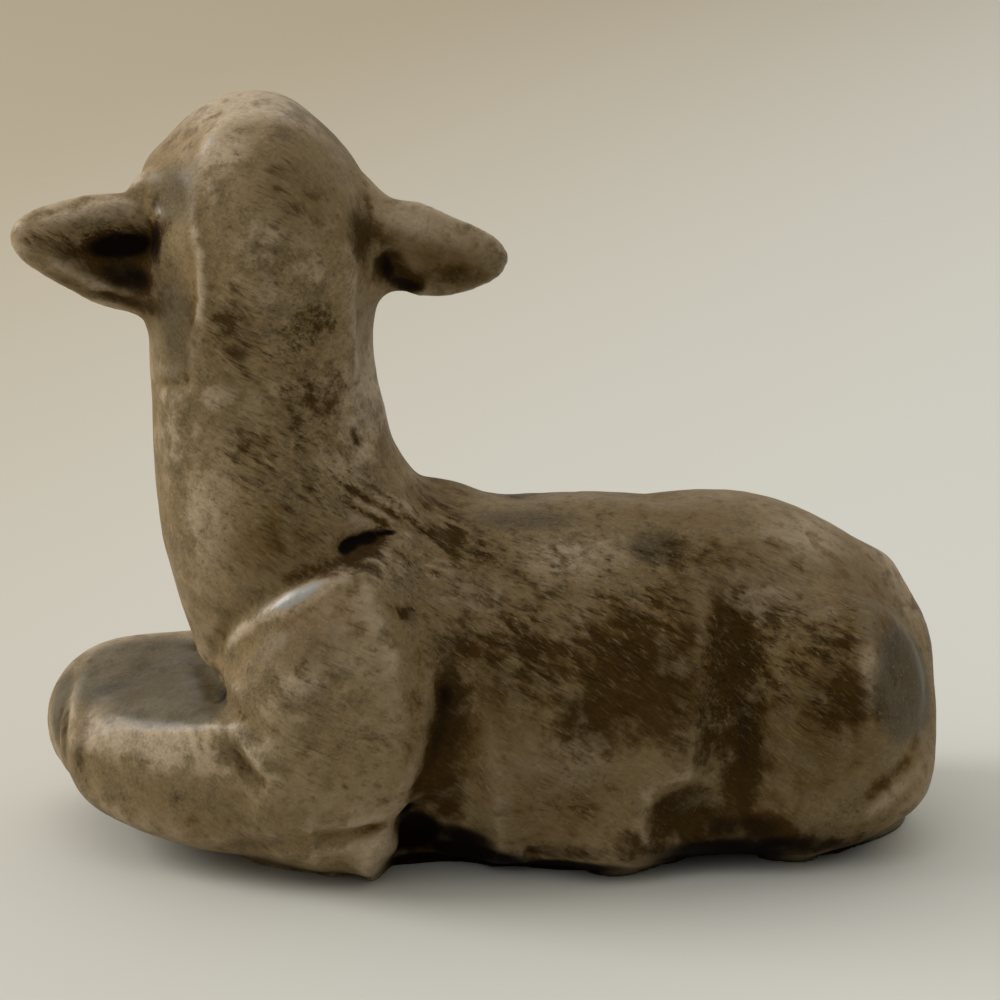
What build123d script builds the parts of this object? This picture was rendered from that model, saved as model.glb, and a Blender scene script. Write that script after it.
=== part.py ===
"""Reclining sheep figurine in stained earthenware: clay pieces luted together with slip, then fired.

Frame: +Z up and the ground at Z = 0. The animal lies along X with its rump towards +X and its left flank
towards -Y, and turns its head square to its right, so that the face looks along +Y. The origin is on the flat
underside, a little behind the shoulders. Sizes are in millimetres and angles in degrees.
"""

from build123d import *
import os
from math import cos, radians, sin

LEFT, RIGHT = -1, 1

# Trunk: the hollow barrel from brisket to rump, flat underneath, with the hole that its slip was drained by.
trunk_length = 74.0
trunk_width = 35.0
back_height = 36.0
brisket_reach = 27.5
belly_height = 14.5
base_sink = 5.0
clay_wall = 4.5
pour_hole_diameter = 11.0
pour_hole_setback = 41.5

# Neck: an oval column that stands on the withers and plugs into the head.
neck_width = 22.6
neck_depth = 22.0
neck_height = 22.0
neck_setback = 5.8
withers_width = 27.4
withers_depth = 25.0
withers_setback = 8.8
neck_root_width = 31.6
neck_root_depth = 26.0
neck_root_setback = 14.8
neck_root_sink = 16.0

# Head: a domed skull that narrows to the muzzle. It is hollowed below for the top of the neck.
head_width = 25.0
head_height = 30.5
head_length = 37.0
head_overhang = 1.2
neck_socket = 10.5
muzzle_width = 14.5
muzzle_height = 13.5

# Ears: blades that stand out sideways, each with its own size and slope.
ear_thickness = 5.4
ear_ahead = 11.5
left_ear_length = 11.7
left_ear_height = 12.2
left_ear_drop = 15.4
left_ear_rise = 2.1
left_ear_scoop_depth = 1.3
left_ear_scoop_width = 10.0
left_ear_scoop_out = 2.4
right_ear_length = 12.5
right_ear_height = 9.8
right_ear_drop = 15.0
right_ear_rise = -1.8

# Forelegs: a shoulder plate, a forearm laid forward and inward to the knee, and the cannon folded under it.
shoulder_setback = 13.0
shoulder_height = 18.0
shoulder_length = 23.0
shoulder_rise = 33.0
shoulder_swell = 1.0
shoulder_lean = 18.0
elbow_inset = 8.5
elbow_thickness = 19.4
elbow_height = 9.7
knee_thickness = 13.6
knee_height = 10.5
left_knee_reach = 13.5
left_knee_y = 4.0
right_knee_reach = 15.8
right_knee_y = 14.5
hoof_setback = 19.0
hoof_inset = 5.8
hoof_width = 8.4
hoof_height = 7.6

# Hind legs: a thigh plate on the haunch and a foot laid forward along the ground.
thigh_setback = 11.8
thigh_height = 14.5
thigh_length = 20.5
thigh_rise = 28.0
thigh_swell = 0.3
thigh_lean = -4.0
foot_length = 30.0
foot_inset = 5.2
foot_width = 10.5
foot_height = 11.0

# Folds in each flank, behind the shoulder and before the thigh. Each has the form of the inner side of a ring,
# and its depth is counted from the trunk's widest line.
shoulder_fold_setback = 23.0
shoulder_fold_depth = 2.2
thigh_fold_setback = 51.5
thigh_fold_depth = 1.8
fold_width = 12.0
fold_ring = 24.0
fold_lift = 2.5

# Flats on the rump, where each thigh's back edge is pressed in.
rump_flat_turn = 40.0
rump_flat_depth = 1.0

# Tail: a strap that hangs from the rump and tucks round the left haunch.
tail_width = 8.0
tail_thickness = 4.4
tail_drop = 11.0

# Places that follow from these sizes.
half_trunk = trunk_width / 2
brisket_x = -brisket_reach
rump_x = brisket_x + trunk_length
neck_x = brisket_x + neck_setback
neck_top_z = back_height + neck_height
jaw_z = neck_top_z - neck_socket
crown_z = jaw_z + head_height
nape_y = -neck_depth / 2 - head_overhang


def section(plane, half_width, rise, drop):
    """Face of a clay section: four quarter ellipses, rise above the plane's origin and drop below it."""
    with BuildSketch(plane) as profile:
        with BuildLine():
            for start, height in ((0, rise), (90, rise), (180, drop), (270, drop)):
                EllipticalCenterArc((0, 0), half_width, height, start, arc_size=90)
        make_face()
    return profile.sketch


def trunk_skin(inset):
    """Sections of the trunk between its two end points, drawn in by inset all round."""
    # Share of the trunk's length, of its width and of the back's height.
    stations = (
        (0.07, 0.58, 0.70),
        (0.22, 0.88, 0.96),
        (0.50, 1.00, 1.00),
        (0.78, 0.98, 0.97),
        (0.93, 0.70, 0.79),
    )
    sections = [
        section(
            Plane((brisket_x + along * trunk_length, 0, belly_height), x_dir=(0, 1, 0), z_dir=(1, 0, 0)),
            wide * half_trunk - inset,
            high * back_height - belly_height - inset,
            belly_height + base_sink,
        )
        for along, wide, high in stations
    ]
    return [Vertex(brisket_x + inset, 0, belly_height), *sections, Vertex(rump_x - inset, 0, belly_height)]


def limb_skin(stations, upward=(0, 0, 1)):
    """Sections square to a limb's run. A station is its centre, half width and half height towards upward."""
    centres = [Vector(centre) for centre, _, _ in stations]
    sections = []
    for i, (_, half_width, half_height) in enumerate(stations):
        run = centres[min(i + 1, len(centres) - 1)] - centres[max(i - 1, 0)]
        plane = Plane(centres[i], x_dir=run.cross(Vector(upward)), z_dir=run)
        sections.append(section(plane, half_width, half_height, half_height))
    return sections


def tapered_foot(heel, toe, shares, width, height):
    """Foot that runs straight from heel to toe: each share is of the way there and of the full size."""
    stations = [
        (heel + (toe - heel) * way, full * width / 2, full * height / 2)
        for way, full in shares
    ]
    return [*limb_skin(stations), Vertex(toe)]


def flank_plate(centre_x, centre_z, length, height, reach, lean, side):
    """Oval plate that swells out of one flank to its reach and leans back at its top."""
    # Share of the reach from the middle of the trunk, and of the oval's full size.
    swell = ((0.30, 0.92), (0.70, 1.00), (0.88, 0.80), (0.96, 0.48))
    lengthways = (cos(radians(lean)), 0, -sin(radians(lean)))
    sections = [
        section(
            Plane((centre_x, side * out * reach, centre_z), x_dir=lengthways, z_dir=(0, side, 0)),
            full * length / 2,
            full * height / 2,
            full * height / 2,
        )
        for out, full in swell
    ]
    return [*sections, Vertex(centre_x, side * reach, centre_z)]


def press_folds(*sides):
    """Press the folds of these flanks into the piece that is being built."""
    tube = fold_width / 2
    folds = ((shoulder_fold_setback, shoulder_fold_depth), (thigh_fold_setback, thigh_fold_depth))
    for setback, depth in folds:
        for side in sides:
            ring_y = side * (half_trunk - depth - fold_ring)
            with Locations((brisket_x + setback, ring_y, belly_height + fold_lift)):
                Torus(fold_ring + tube, tube, rotation=(0, 90, 0), mode=Mode.SUBTRACT)


# Trunk as a filled form, which the other pieces are cut to, and the hollow body made from it.
with BuildPart() as trunk:
    loft(sections=trunk_skin(0))
    split(bisect_by=Plane.XY, keep=Keep.TOP)
    press_folds(LEFT, RIGHT)

with BuildPart() as hollow:
    loft(sections=trunk_skin(clay_wall))
    split(bisect_by=Plane.XY.offset(clay_wall), keep=Keep.TOP)

with BuildPart() as body:
    add(trunk.part)
    add(hollow.part, mode=Mode.SUBTRACT)
    with BuildSketch(Plane.XY):
        with Locations((brisket_x + pour_hole_setback, 0)):
            Circle(pour_hole_diameter / 2)
    extrude(amount=belly_height, mode=Mode.SUBTRACT)

# Neck: it leans back into the withers, its foot is cut to the trunk and its top tapers into the head.
root_x = brisket_x + neck_root_setback
withers_x = brisket_x + withers_setback
root_z = back_height - neck_root_sink
# Height, middle, width and depth of each section.
neck_stations = (
    (root_z, root_x, neck_root_width, neck_root_depth),
    ((root_z + back_height) / 2, (2 * root_x + withers_x) / 3, neck_root_width, neck_root_depth),
    (back_height + 0.08 * neck_height, withers_x, withers_width, withers_depth),
    (back_height + 0.32 * neck_height, (2 * neck_x + withers_x) / 3, 1.07 * neck_width, neck_depth),
    (back_height + 0.65 * neck_height, neck_x, neck_width, neck_depth),
    (neck_top_z, neck_x, 0.94 * neck_width, 0.86 * neck_depth),
)
with BuildPart() as neck:
    loft(
        sections=[
            section(Plane((middle, 0, z)), width / 2, depth / 2, depth / 2)
            for z, middle, width, depth in neck_stations
        ]
    )
    add(trunk.part, mode=Mode.SUBTRACT)

# Skull as a filled form: from the nape over the dome and down to the nose.
# Share of the head's length, of its width, and of its height to the top, the widest level and the underside.
skull_stations = (
    (0.04, 0.43, 0.68, 0.44, 0.22),
    (0.16, 0.80, 0.90, 0.43, 0.07),
    (0.40, 1.00, 1.00, 0.42, 0.00),
    (0.60, 0.86, 0.86, 0.38, 0.01),
)
# Share of the head's length, of the muzzle's width, and of the muzzle's height to the same three levels.
muzzle_stations = (
    (0.80, 1.10, 1.22, 0.56, 0.10),
    (0.92, 0.98, 1.00, 0.50, 0.10),
    (0.98, 0.62, 0.80, 0.48, 0.20),
)


def head_sections(stations, width, height):
    """Egg-shaped sections of the head, square to its length, on shares of a width and a height."""
    sections = []
    for along, wide, top, widest, under in stations:
        centre = (neck_x, nape_y + along * head_length, jaw_z + widest * height)
        plane = Plane(centre, x_dir=(-1, 0, 0), z_dir=(0, 1, 0))
        sections.append(section(plane, wide * width / 2, (top - widest) * height, (widest - under) * height))
    return sections


with BuildPart() as skull:
    loft(
        sections=[
            Vertex(neck_x, nape_y, jaw_z + 0.44 * head_height),
            *head_sections(skull_stations, head_width, head_height),
            *head_sections(muzzle_stations, muzzle_width, muzzle_height),
            Vertex(neck_x, nape_y + head_length, jaw_z + 0.48 * muzzle_height),
        ]
    )

with BuildPart() as head:
    add(skull.part)
    add(neck.part, mode=Mode.SUBTRACT)


def ear_root(side, drop):
    """Middle of an ear's root, on the side of the skull."""
    return Vector(neck_x + side * head_width / 2, nape_y + ear_ahead, crown_z - drop)


def ear_blade(side, length, height, drop, rise):
    """Sections of one ear, from inside the skull to the tip, which stands higher than the root by rise."""
    # Share of the ear's length outside the skull, and of its full height and thickness.
    stations = ((-0.45, 0.90), (0.05, 1.00), (0.45, 0.84), (0.80, 0.54), (0.95, 0.28))
    root = ear_root(side, drop)
    tip = root + Vector(side * length, 0, rise)
    sections = [
        section(
            Plane(root + (tip - root) * along, x_dir=(0, 1, 0), z_dir=(side, 0, 0)),
            full * ear_thickness / 2,
            full * height / 2,
            full * height / 2,
        )
        for along, full in stations
    ]
    return [*sections, Vertex(tip)]


with BuildPart() as left_ear:
    loft(sections=ear_blade(LEFT, left_ear_length, left_ear_height, left_ear_drop, left_ear_rise))
    # The hollow of the ear, a ball's cap of the scoop's width and depth in the side away from the face.
    scoop_radius = left_ear_scoop_width**2 / (8 * left_ear_scoop_depth) + left_ear_scoop_depth / 2
    scoop_root = ear_root(LEFT, left_ear_drop)
    scoop_y = scoop_root.Y - ear_thickness / 2 + left_ear_scoop_depth - scoop_radius
    with Locations((scoop_root.X - left_ear_scoop_out, scoop_y, scoop_root.Z)):
        Sphere(scoop_radius, mode=Mode.SUBTRACT)
    add(skull.part, mode=Mode.SUBTRACT)

with BuildPart() as right_ear:
    loft(sections=ear_blade(RIGHT, right_ear_length, right_ear_height, right_ear_drop, right_ear_rise))
    add(skull.part, mode=Mode.SUBTRACT)


def foreleg(side, knee_reach, knee_y):
    """One foreleg before it is cut to its neighbours: shoulder plate, forearm, and cannon with its hoof."""
    shoulder_x = brisket_x + shoulder_setback
    elbow = Vector(shoulder_x, side * (half_trunk - elbow_inset), elbow_height)
    knee = Vector(brisket_x - knee_reach, knee_y, knee_height)
    hoof = Vector(brisket_x + hoof_setback, side * (half_trunk - hoof_inset), hoof_height / 2)
    # Share of the way from elbow to knee, and the half thickness there.
    forearm = (
        (0.00, elbow_thickness / 2),
        (0.45, (elbow_thickness + knee_thickness) / 4),
        (0.80, knee_thickness / 2),
        (0.95, 0.66 * knee_thickness / 2),
    )
    # Share of the way from elbow to the hoof's tip, and of the hoof's size.
    cannon = ((0.00, 0.85), (0.45, 1.00), (0.75, 1.00), (0.94, 0.60))
    with BuildPart() as leg:
        loft(
            sections=flank_plate(
                shoulder_x,
                shoulder_height,
                shoulder_length,
                shoulder_rise,
                half_trunk + shoulder_swell,
                shoulder_lean,
                side,
            )
        )
        forearm_skin = limb_skin([(elbow + (knee - elbow) * way, half, half) for way, half in forearm])
        loft(sections=[*forearm_skin, Vertex(knee)])
        press_folds(side)
        loft(sections=tapered_foot(Vector(elbow.X, hoof.Y, hoof.Z), hoof, cannon, hoof_width, hoof_height))
        split(bisect_by=Plane.XY, keep=Keep.TOP)
    return leg.part


with BuildPart() as left_foreleg:
    add(foreleg(LEFT, left_knee_reach, left_knee_y))
    add(trunk.part, mode=Mode.SUBTRACT)
    add(neck.part, mode=Mode.SUBTRACT)

with BuildPart() as right_foreleg:
    add(foreleg(RIGHT, right_knee_reach, right_knee_y))
    add(trunk.part, mode=Mode.SUBTRACT)
    add(neck.part, mode=Mode.SUBTRACT)
    add(left_foreleg.part, mode=Mode.SUBTRACT)


def hind_leg(side):
    """One hind leg before it is cut to the trunk: the thigh plate, and the foot that runs forward from it."""
    thigh_x = rump_x - thigh_setback
    heel = Vector(thigh_x, side * (half_trunk - foot_inset), foot_height / 2)
    toe = heel - Vector(foot_length, 0, 0)
    # Share of the way from heel to toe, and of the foot's size.
    foot = ((0.00, 0.80), (0.35, 0.86), (0.70, 1.00), (0.90, 0.78), (0.97, 0.45))
    with BuildPart() as leg:
        loft(
            sections=flank_plate(
                thigh_x,
                thigh_height,
                thigh_length,
                thigh_rise,
                half_trunk + thigh_swell,
                thigh_lean,
                side,
            )
        )
        press_folds(side)
        plate_reach = half_trunk + thigh_swell
        back_edge = Vector(thigh_x + 0.40 * thigh_length, side * 0.85 * plate_reach, thigh_height)
        outward = Vector(cos(radians(rump_flat_turn)), side * sin(radians(rump_flat_turn)), 0)
        split(bisect_by=Plane(back_edge - outward * rump_flat_depth, z_dir=outward), keep=Keep.BOTTOM)
        loft(sections=tapered_foot(heel, toe, foot, foot_width, foot_height))
        split(bisect_by=Plane.XY, keep=Keep.TOP)
    return leg.part


with BuildPart() as left_hind_leg:
    add(hind_leg(LEFT))
    add(trunk.part, mode=Mode.SUBTRACT)

with BuildPart() as right_hind_leg:
    add(hind_leg(RIGHT))
    add(trunk.part, mode=Mode.SUBTRACT)


def tail_point(ahead, out, high):
    """Point of the tail's run: tail widths ahead of the rump, and shares of the half trunk and root height."""
    return Vector(rump_x - ahead * tail_width, LEFT * out * half_trunk, high * (back_height - tail_drop))


# Tail: down the middle of the rump and round to the left. A station is its place and share of the full size.
tail_stations = (
    (tail_point(0.62, 0.00, 1.02), 0.80),
    (tail_point(0.20, 0.09, 0.78), 1.00),
    (tail_point(0.10, 0.31, 0.52), 1.00),
    (tail_point(0.25, 0.63, 0.33), 0.86),
    (tail_point(0.62, 0.86, 0.22), 0.50),
)
with BuildPart() as tail:
    tail_skin = limb_skin(
        [(place, full * tail_width / 2, full * tail_thickness / 2) for place, full in tail_stations],
        upward=(1, 0, 0),
    )
    loft(sections=[*tail_skin, Vertex(tail_point(0.91, 0.95, 0.19))])
    add(trunk.part, mode=Mode.SUBTRACT)
    add(left_hind_leg.part, mode=Mode.SUBTRACT)
    split(bisect_by=Plane.XY, keep=Keep.TOP)

pieces = {
    "body": body,
    "neck": neck,
    "head": head,
    "left_ear": left_ear,
    "right_ear": right_ear,
    "left_foreleg": left_foreleg,
    "right_foreleg": right_foreleg,
    "left_hind_leg": left_hind_leg,
    "right_hind_leg": right_hind_leg,
    "tail": tail,
}
os.makedirs("parts", exist_ok=True)
for name, piece in pieces.items():
    piece.part.label = name
    export_step(piece.part, f"parts/{name}.step")
    print(name, len(piece.part.solids()), round(piece.part.volume), piece.part.is_valid)
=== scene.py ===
"""Reclining lamb in stained earthenware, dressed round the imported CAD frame.

The ten CAD pieces are joined into one block of clay, the joints are smoothed as a maker smooths them with slip,
folds and facets are pressed in, and the block is cut back into the ten pieces along their CAD seats.
"""

import math
from collections import namedtuple
from functools import cache

import bmesh
import bpy
import numpy as np
from bpy.props import FloatProperty, FloatVectorProperty, PointerProperty
from bpy.types import Operator, Panel, PropertyGroup
from mathutils import Matrix, Vector
from mathutils.bvhtree import BVHTree


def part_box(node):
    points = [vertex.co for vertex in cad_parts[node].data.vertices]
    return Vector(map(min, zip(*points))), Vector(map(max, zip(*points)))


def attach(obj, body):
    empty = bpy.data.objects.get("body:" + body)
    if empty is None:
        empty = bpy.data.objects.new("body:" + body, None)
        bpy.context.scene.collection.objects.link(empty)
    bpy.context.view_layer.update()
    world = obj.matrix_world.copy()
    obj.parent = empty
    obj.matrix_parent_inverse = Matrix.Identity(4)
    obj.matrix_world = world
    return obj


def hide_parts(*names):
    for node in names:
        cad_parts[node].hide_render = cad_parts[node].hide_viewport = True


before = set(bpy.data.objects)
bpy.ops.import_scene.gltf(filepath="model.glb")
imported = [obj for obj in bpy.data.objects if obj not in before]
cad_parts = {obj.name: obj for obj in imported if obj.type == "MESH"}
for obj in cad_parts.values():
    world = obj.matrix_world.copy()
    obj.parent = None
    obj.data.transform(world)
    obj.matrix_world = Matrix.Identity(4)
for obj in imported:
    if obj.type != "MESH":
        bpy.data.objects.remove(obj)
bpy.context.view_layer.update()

bl_info = {
    "name": "Stained clay lamb",
    "version": (1, 0, 0),
    "blender": (4, 5, 0),
    "location": "View3D > Sidebar > Clay lamb",
    "description": "Models a reclining lamb figurine in stained earthenware",
    "category": "Object",
}

MM = 0.001
PHOTO_SIZE = 1000
SENSOR_WIDTH = 36.0
OUTLINE_SLACK = 4 * MM
LIGHT_FROM = (-0.80, 0.20, 0.50)
ROOM_TOP = (-0.1, 0.35, 0.93)
LAMP_DISTANCE = 1.1
BODY = "root"
BLOCK = "modelled_clay"
SKIN = "modelled_skin"
MASKS = ("dark", "wash", "grey", "pale", "fleece", "hollow", "pool")

Stroke = namedtuple("Stroke", "name path width depth mirrored")
Press = namedtuple("Press", "name centre radii turn sink flat mirrored")
Undercut = namedtuple("Undercut", "name centre reach height depth")
Patch = namedtuple("Patch", "centre radii turn amount")

# Grooves (depth above zero) and ridges (below zero): paths in photograph pixels, widths and depths in millimetres.
STROKES = (
    Stroke("shoulder crease", ((212, 660), (230, 626), (262, 602), (300, 580), (350, 556), (400, 529)),
           1.1, 0.7, True),
    Stroke("shoulder rim", ((218, 652), (240, 628), (275, 606), (312, 587), (352, 568)), 1.4, -0.6, True),
    Stroke("pocket behind the neck", ((338, 553), (350, 542), (366, 536), (394, 531)), 0.8, 1.0, True),
    Stroke("leg top edge", ((98, 692), (140, 727), (217, 739)), 1.4, -0.15, False),
    Stroke("leg root crease", ((196, 664), (216, 690), (238, 711), (270, 733)), 1.2, 0.7, True),
    Stroke("leg root lip", ((205, 653), (228, 682), (252, 703)), 1.3, -0.35, True),
    Stroke("elbow crease", ((226, 745), (243, 769), (264, 792)), 1.1, 0.8, True),
    Stroke("cannon crease", ((215, 842), (262, 846), (312, 840), (356, 838), (392, 824)), 1.1, 0.55, True),
    Stroke("hoof crease", ((316, 843), (350, 839), (384, 828)), 0.8, 0.8, True),
    Stroke("valley behind the shoulder", ((446, 672), (447, 700), (438, 750), (420, 806)), 1.5, 1.0, True),
    Stroke("edge of the shoulder", ((431, 660), (430, 700), (422, 745), (398, 800)), 1.0, -0.3, True),
    Stroke("flank groove", ((738, 606), (742, 660), (745, 730), (746, 790), (742, 838)), 2.6, 0.8, True),
    Stroke("flank groove core", ((744, 700), (745, 760), (744, 830)), 1.2, 0.4, True),
    Stroke("tail crease", ((914, 752), (884, 782), (850, 812)), 1.2, 0.4, False),
    Stroke("tail edge", ((922, 762), (892, 792), (860, 820)), 1.0, -0.25, False),
    Stroke("rump ridge", ((868, 610), (866, 660), (868, 720)), 1.3, -0.5, True),
    Stroke("nape ridge", ((192, 214), (203, 262), (203, 300), (194, 344), (191, 372)), 0.7, -0.45, False),
    Stroke("neck side ridge", ((340, 226), (350, 270), (352, 330), (358, 380)), 1.4, -0.35, False),
    Stroke("left ear fold", ((36, 222), (80, 210), (124, 206), (152, 212)), 1.2, -0.5, False),
    Stroke("left ear lobe", ((40, 258), (80, 276), (116, 292)), 1.2, -0.35, False),
    Stroke("left ear lower line", ((98, 294), (130, 305), (151, 316)), 0.6, 0.6, False),
    Stroke("left ear root nick", ((138, 190), (146, 194)), 0.5, 0.5, False),
    Stroke("right ear root corner", ((383, 250), (388, 270), (402, 284), (424, 290)), 1.3, 1.1, False),
    Stroke("knee parting", ((66, 706), (64, 736), (68, 768)), 0.8, 1.4, False),
    Stroke("knee edge", ((84, 676), (78, 710), (80, 752)), 1.0, -0.35, False),
    Stroke("brow ridge", ((206, 158), (212, 138), (232, 122), (262, 118), (300, 126)), 1.2, -0.35, False),
    Stroke("belly scoop edge", ((642, 786), (650, 806), (640, 828), (650, 846)), 0.9, -0.3, True),
    Stroke("belly notch", ((529, 848), (532, 860)), 0.6, 0.8, False),
    Stroke("neck nick", ((353, 430), (360, 446)), 0.5, 0.45, False),
    Stroke("neck spot", ((294, 446), (312, 449)), 0.5, 0.4, False),
    Stroke("facet end", ((152, 380), (172, 386), (190, 376)), 0.6, 0.5, False),
    *(Stroke("withers comb", ((338 - 3 * row, 470 + 9 * row), (376 - row, 497 + 7 * row),
                              (418 + 6 * row, 520 + 5 * row)), 0.45, 0.4, False) for row in range(4)),
    *(Stroke("withers locks", ((396 + 8 * row, 552 + 11 * row), (436 + 8 * row, 560 + 11 * row)), 0.5, 0.35, False)
      for row in range(4)),
)

# Places where the clay's foot stands back from the floor: middle and half length in photograph pixels, then the
# height that it fades out over and its depth, in millimetres.
UNDERCUTS = (
    Undercut("hollow behind the hoof", (414, 832), 34, 5.2, 4.8),
    Undercut("gap under the belly", (492, 852), 56, 1.0, 1.4),
    Undercut("gap under the flank", (722, 846), 78, 2.4, 1.4),
    Undercut("turned-under foot", (810, 846), 80, 1.4, 0.5),
    Undercut("foot of the belly", (590, 858), 76, 5.0, -0.7),
    Undercut("foot of the forearm", (160, 815), 80, 5.0, -1.4),
)

# Flats and dents: middle and half sizes in photograph pixels, turn in degrees, sink in millimetres, flat as a share.
PRESSES = (
    Press("neck side facet", (176, 318), (32, 78), 4, 0.5, 0.75, False),
    Press("neck right flat", (362, 330), (20, 62), 0, 0.3, 0.5, False),
    Press("cheek plane", (166, 214), (34, 34), 30, 0.3, 0.5, False),
    Press("leg top flat", (150, 682), (76, 32), 4, 0.1, 0.8, False),
    Press("rump facet", (908, 682), (48, 64), 4, 0.3, 0.85, True),
    Press("belly scoop", (690, 816), (44, 32), 0, 1.5, 0.7, True),
    Press("back hollow", (660, 546), (30, 32), 0, 0.5, 0.5, True),
    Press("withers dip", (420, 500), (24, 20), 0, 0.4, 0.3, True),
    Press("withers bump", (446, 490), (34, 22), 0, -1.5, 0.0, False),
    Press("saddle dip", (516, 494), (26, 26), 0, 0.6, 0.0, False),
    Press("loin bump", (590, 502), (40, 26), 0, -0.3, 0.0, False),
    Press("loin dip", (656, 492), (36, 28), 0, 0.9, 0.0, False),
    Press("croup bump", (735, 502), (40, 26), 0, -0.2, 0.0, False),
    Press("haunch swell", (820, 690), (60, 80), 0, -0.6, 0.0, True),
    Press("belly swell", (540, 780), (70, 60), 0, -0.7, 0.0, True),
    Press("shoulder swell", (350, 700), (80, 80), 0, -0.5, 0.0, True),
    Press("left ear scoop", (112, 246), (44, 20), -6, 0.7, 0.0, False),
    Press("left ear hollow", (130, 245), (34, 15), 6, 1.3, 0.0, False),
    Press("left ear root filling", (146, 190), (24, 16), 40, -1.5, 0.0, False),
    Press("right ear root filling", (372, 190), (26, 14), -40, -0.8, 0.0, False),
    Press("rump swell", (928, 622), (24, 50), 10, -0.9, 0.0, False),
    Press("croup swell", (886, 562), (34, 22), -38, -1.6, 0.0, False),
    Press("withers flat", (398, 590), (32, 56), 0, 0.1, 0.75, True),
    Press("rump trim", (934, 730), (14, 44), 0, 0.6, 0.0, False),
    Press("forearm end", (60, 735), (30, 80), 0, -1.0, 0.0, False),
    Press("forearm far edge", (130, 646), (90, 18), 8, -0.9, 0.0, False),
    Press("forearm foot", (150, 812), (100, 20), -13, -1.2, 0.0, False),
    Press("neck left trim", (150, 385), (20, 90), 0, 0.6, 0.0, False),
    Press("neck right swell", (380, 402), (16, 40), 0, -0.6, 0.0, False),
    Press("left ear top trim", (54, 208), (46, 12), 8, 0.7, 0.0, False),
    Press("left ear lower trim", (60, 284), (60, 12), -24, 0.5, 0.0, False),
    Press("right ear lower swell", (452, 288), (52, 12), 4, -0.6, 0.0, False),
    Press("head left swell", (150, 166), (26, 22), 50, -0.6, 0.0, False),
    Press("head right trim", (330, 128), (34, 20), -45, 0.6, 0.0, False),
    Press("belly fill", (488, 775), (24, 60), 0, -0.7, 0.0, True),
    Press("hollow behind the hoof", (420, 826), (27, 24), 30, 3.2, 0.0, True),
    Press("hoof tip", (392, 854), (20, 16), 0, -1.6, 0.0, True),
    Press("dark gap by the tail", (860, 700), (40, 30), 0, 0.35, 0.3, False),
)

# Dark stain in patches. Those along the clay's foot, in the hollow behind the hoof, in the valley behind the
# shoulder, under the pocket behind the neck and at the right ear's root corner are painted shade.
DARK_PATCHES = (
    Patch((650, 846), (50, 20), 0, 1.0), Patch((768, 828), (60, 20), 0, 1.0), Patch((816, 848), (50, 14), 0, 1.0),
    Patch((790, 684), (32, 34), 0, 0.7), Patch((58, 248), (36, 16), -16, 1.0), Patch((575, 852), (50, 10), 0, 0.9),
    Patch((520, 660), (76, 52), -20, 0.85), Patch((702, 726), (36, 56), 0, 1.0),
    Patch((830, 660), (44, 34), 0, 0.6), Patch((460, 846), (60, 18), -8, 1.0), Patch((560, 864), (56, 9), 0, 1.0),
    Patch((850, 842), (50, 12), 6, 1.0), Patch((416, 286), (34, 14), 4, 1.0), Patch((104, 286), (62, 18), -22, 1.0),
    Patch((360, 236), (28, 36), -8, 1.0), Patch((368, 232), (20, 26), -8, 0.8),
    Patch((404, 278), (30, 16), -24, 1.0), Patch((154, 252), (24, 44), 0, 1.0),
    Patch((110, 278), (40, 18), -20, 1.0), Patch((134, 190), (16, 8), 30, 0.5),
    Patch((372, 560), (34, 16), 20, 0.9), Patch((690, 556), (40, 24), 0, 0.55),
    Patch((304, 540), (46, 32), 28, 0.56), Patch((640, 600), (26, 18), 0, 0.5), Patch((760, 690), (50, 30), 0, 0.5),
    Patch((640, 674), (84, 72), 0, 1.0), Patch((736, 660), (46, 74), 0, 1.0), Patch((458, 642), (42, 26), 20, 0.75),
    Patch((742, 760), (30, 70), 0, 0.8), Patch((590, 716), (44, 46), 0, 1.0), Patch((448, 728), (27, 78), -8, 1.0),
    Patch((428, 792), (30, 34), -20, 1.0), Patch((446, 792), (22, 44), -10, 1.0),
    Patch((832, 642), (26, 26), 0, 1.0), Patch((836, 704), (42, 36), 0, 1.0), Patch((466, 545), (34, 26), 20, 0.7),
    Patch((232, 334), (30, 60), 0, 0.64), Patch((312, 325), (38, 26), 45, 0.62),
    Patch((306, 402), (40, 46), 0, 0.6), Patch((258, 462), (34, 50), 0, 0.35), Patch((244, 440), (14, 20), 0, 0.5),
    Patch((308, 508), (44, 50), 0, 0.4), Patch((297, 188), (30, 40), 0, 0.45), Patch((118, 252), (56, 32), -6, 1.0),
    Patch((146, 276), (24, 22), 0, 1.0), Patch((450, 278), (62, 15), 4, 1.0), Patch((136, 282), (20, 16), 0, 0.8),
    Patch((390, 264), (20, 34), 14, 1.0), Patch((366, 552), (36, 16), 24, 1.0),
    Patch((346, 566), (26, 11), 30, 0.5), Patch((408, 613), (18, 10), 0, 1.0),
    Patch((454, 541), (50, 17), -28, 0.8), Patch((432, 497), (36, 14), -12, 0.6),
    Patch((466, 626), (44, 18), 26, 0.65), Patch((510, 560), (60, 30), 0, 0.35),
    Patch((420, 832), (36, 26), 0, 1.0), Patch((244, 768), (14, 20), 30, 0.5), Patch((64, 738), (8, 30), 0, 0.9),
    Patch((380, 492), (40, 3), -33, 1.0), Patch((374, 503), (42, 3), -31, 1.0),
    Patch((368, 514), (36, 3), -29, 1.0), Patch((720, 560), (30, 16), 0, 0.4), Patch((880, 785), (36, 8), 42, 0.3),
    Patch((440, 262), (40, 26), 0, 0.35), Patch((725, 838), (70, 18), 0, 0.9), Patch((357, 436), (10, 14), 0, 0.5),
    Patch((684, 812), (50, 36), 18, 0.7), Patch((760, 838), (120, 20), 2, 1.0),
)
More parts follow.
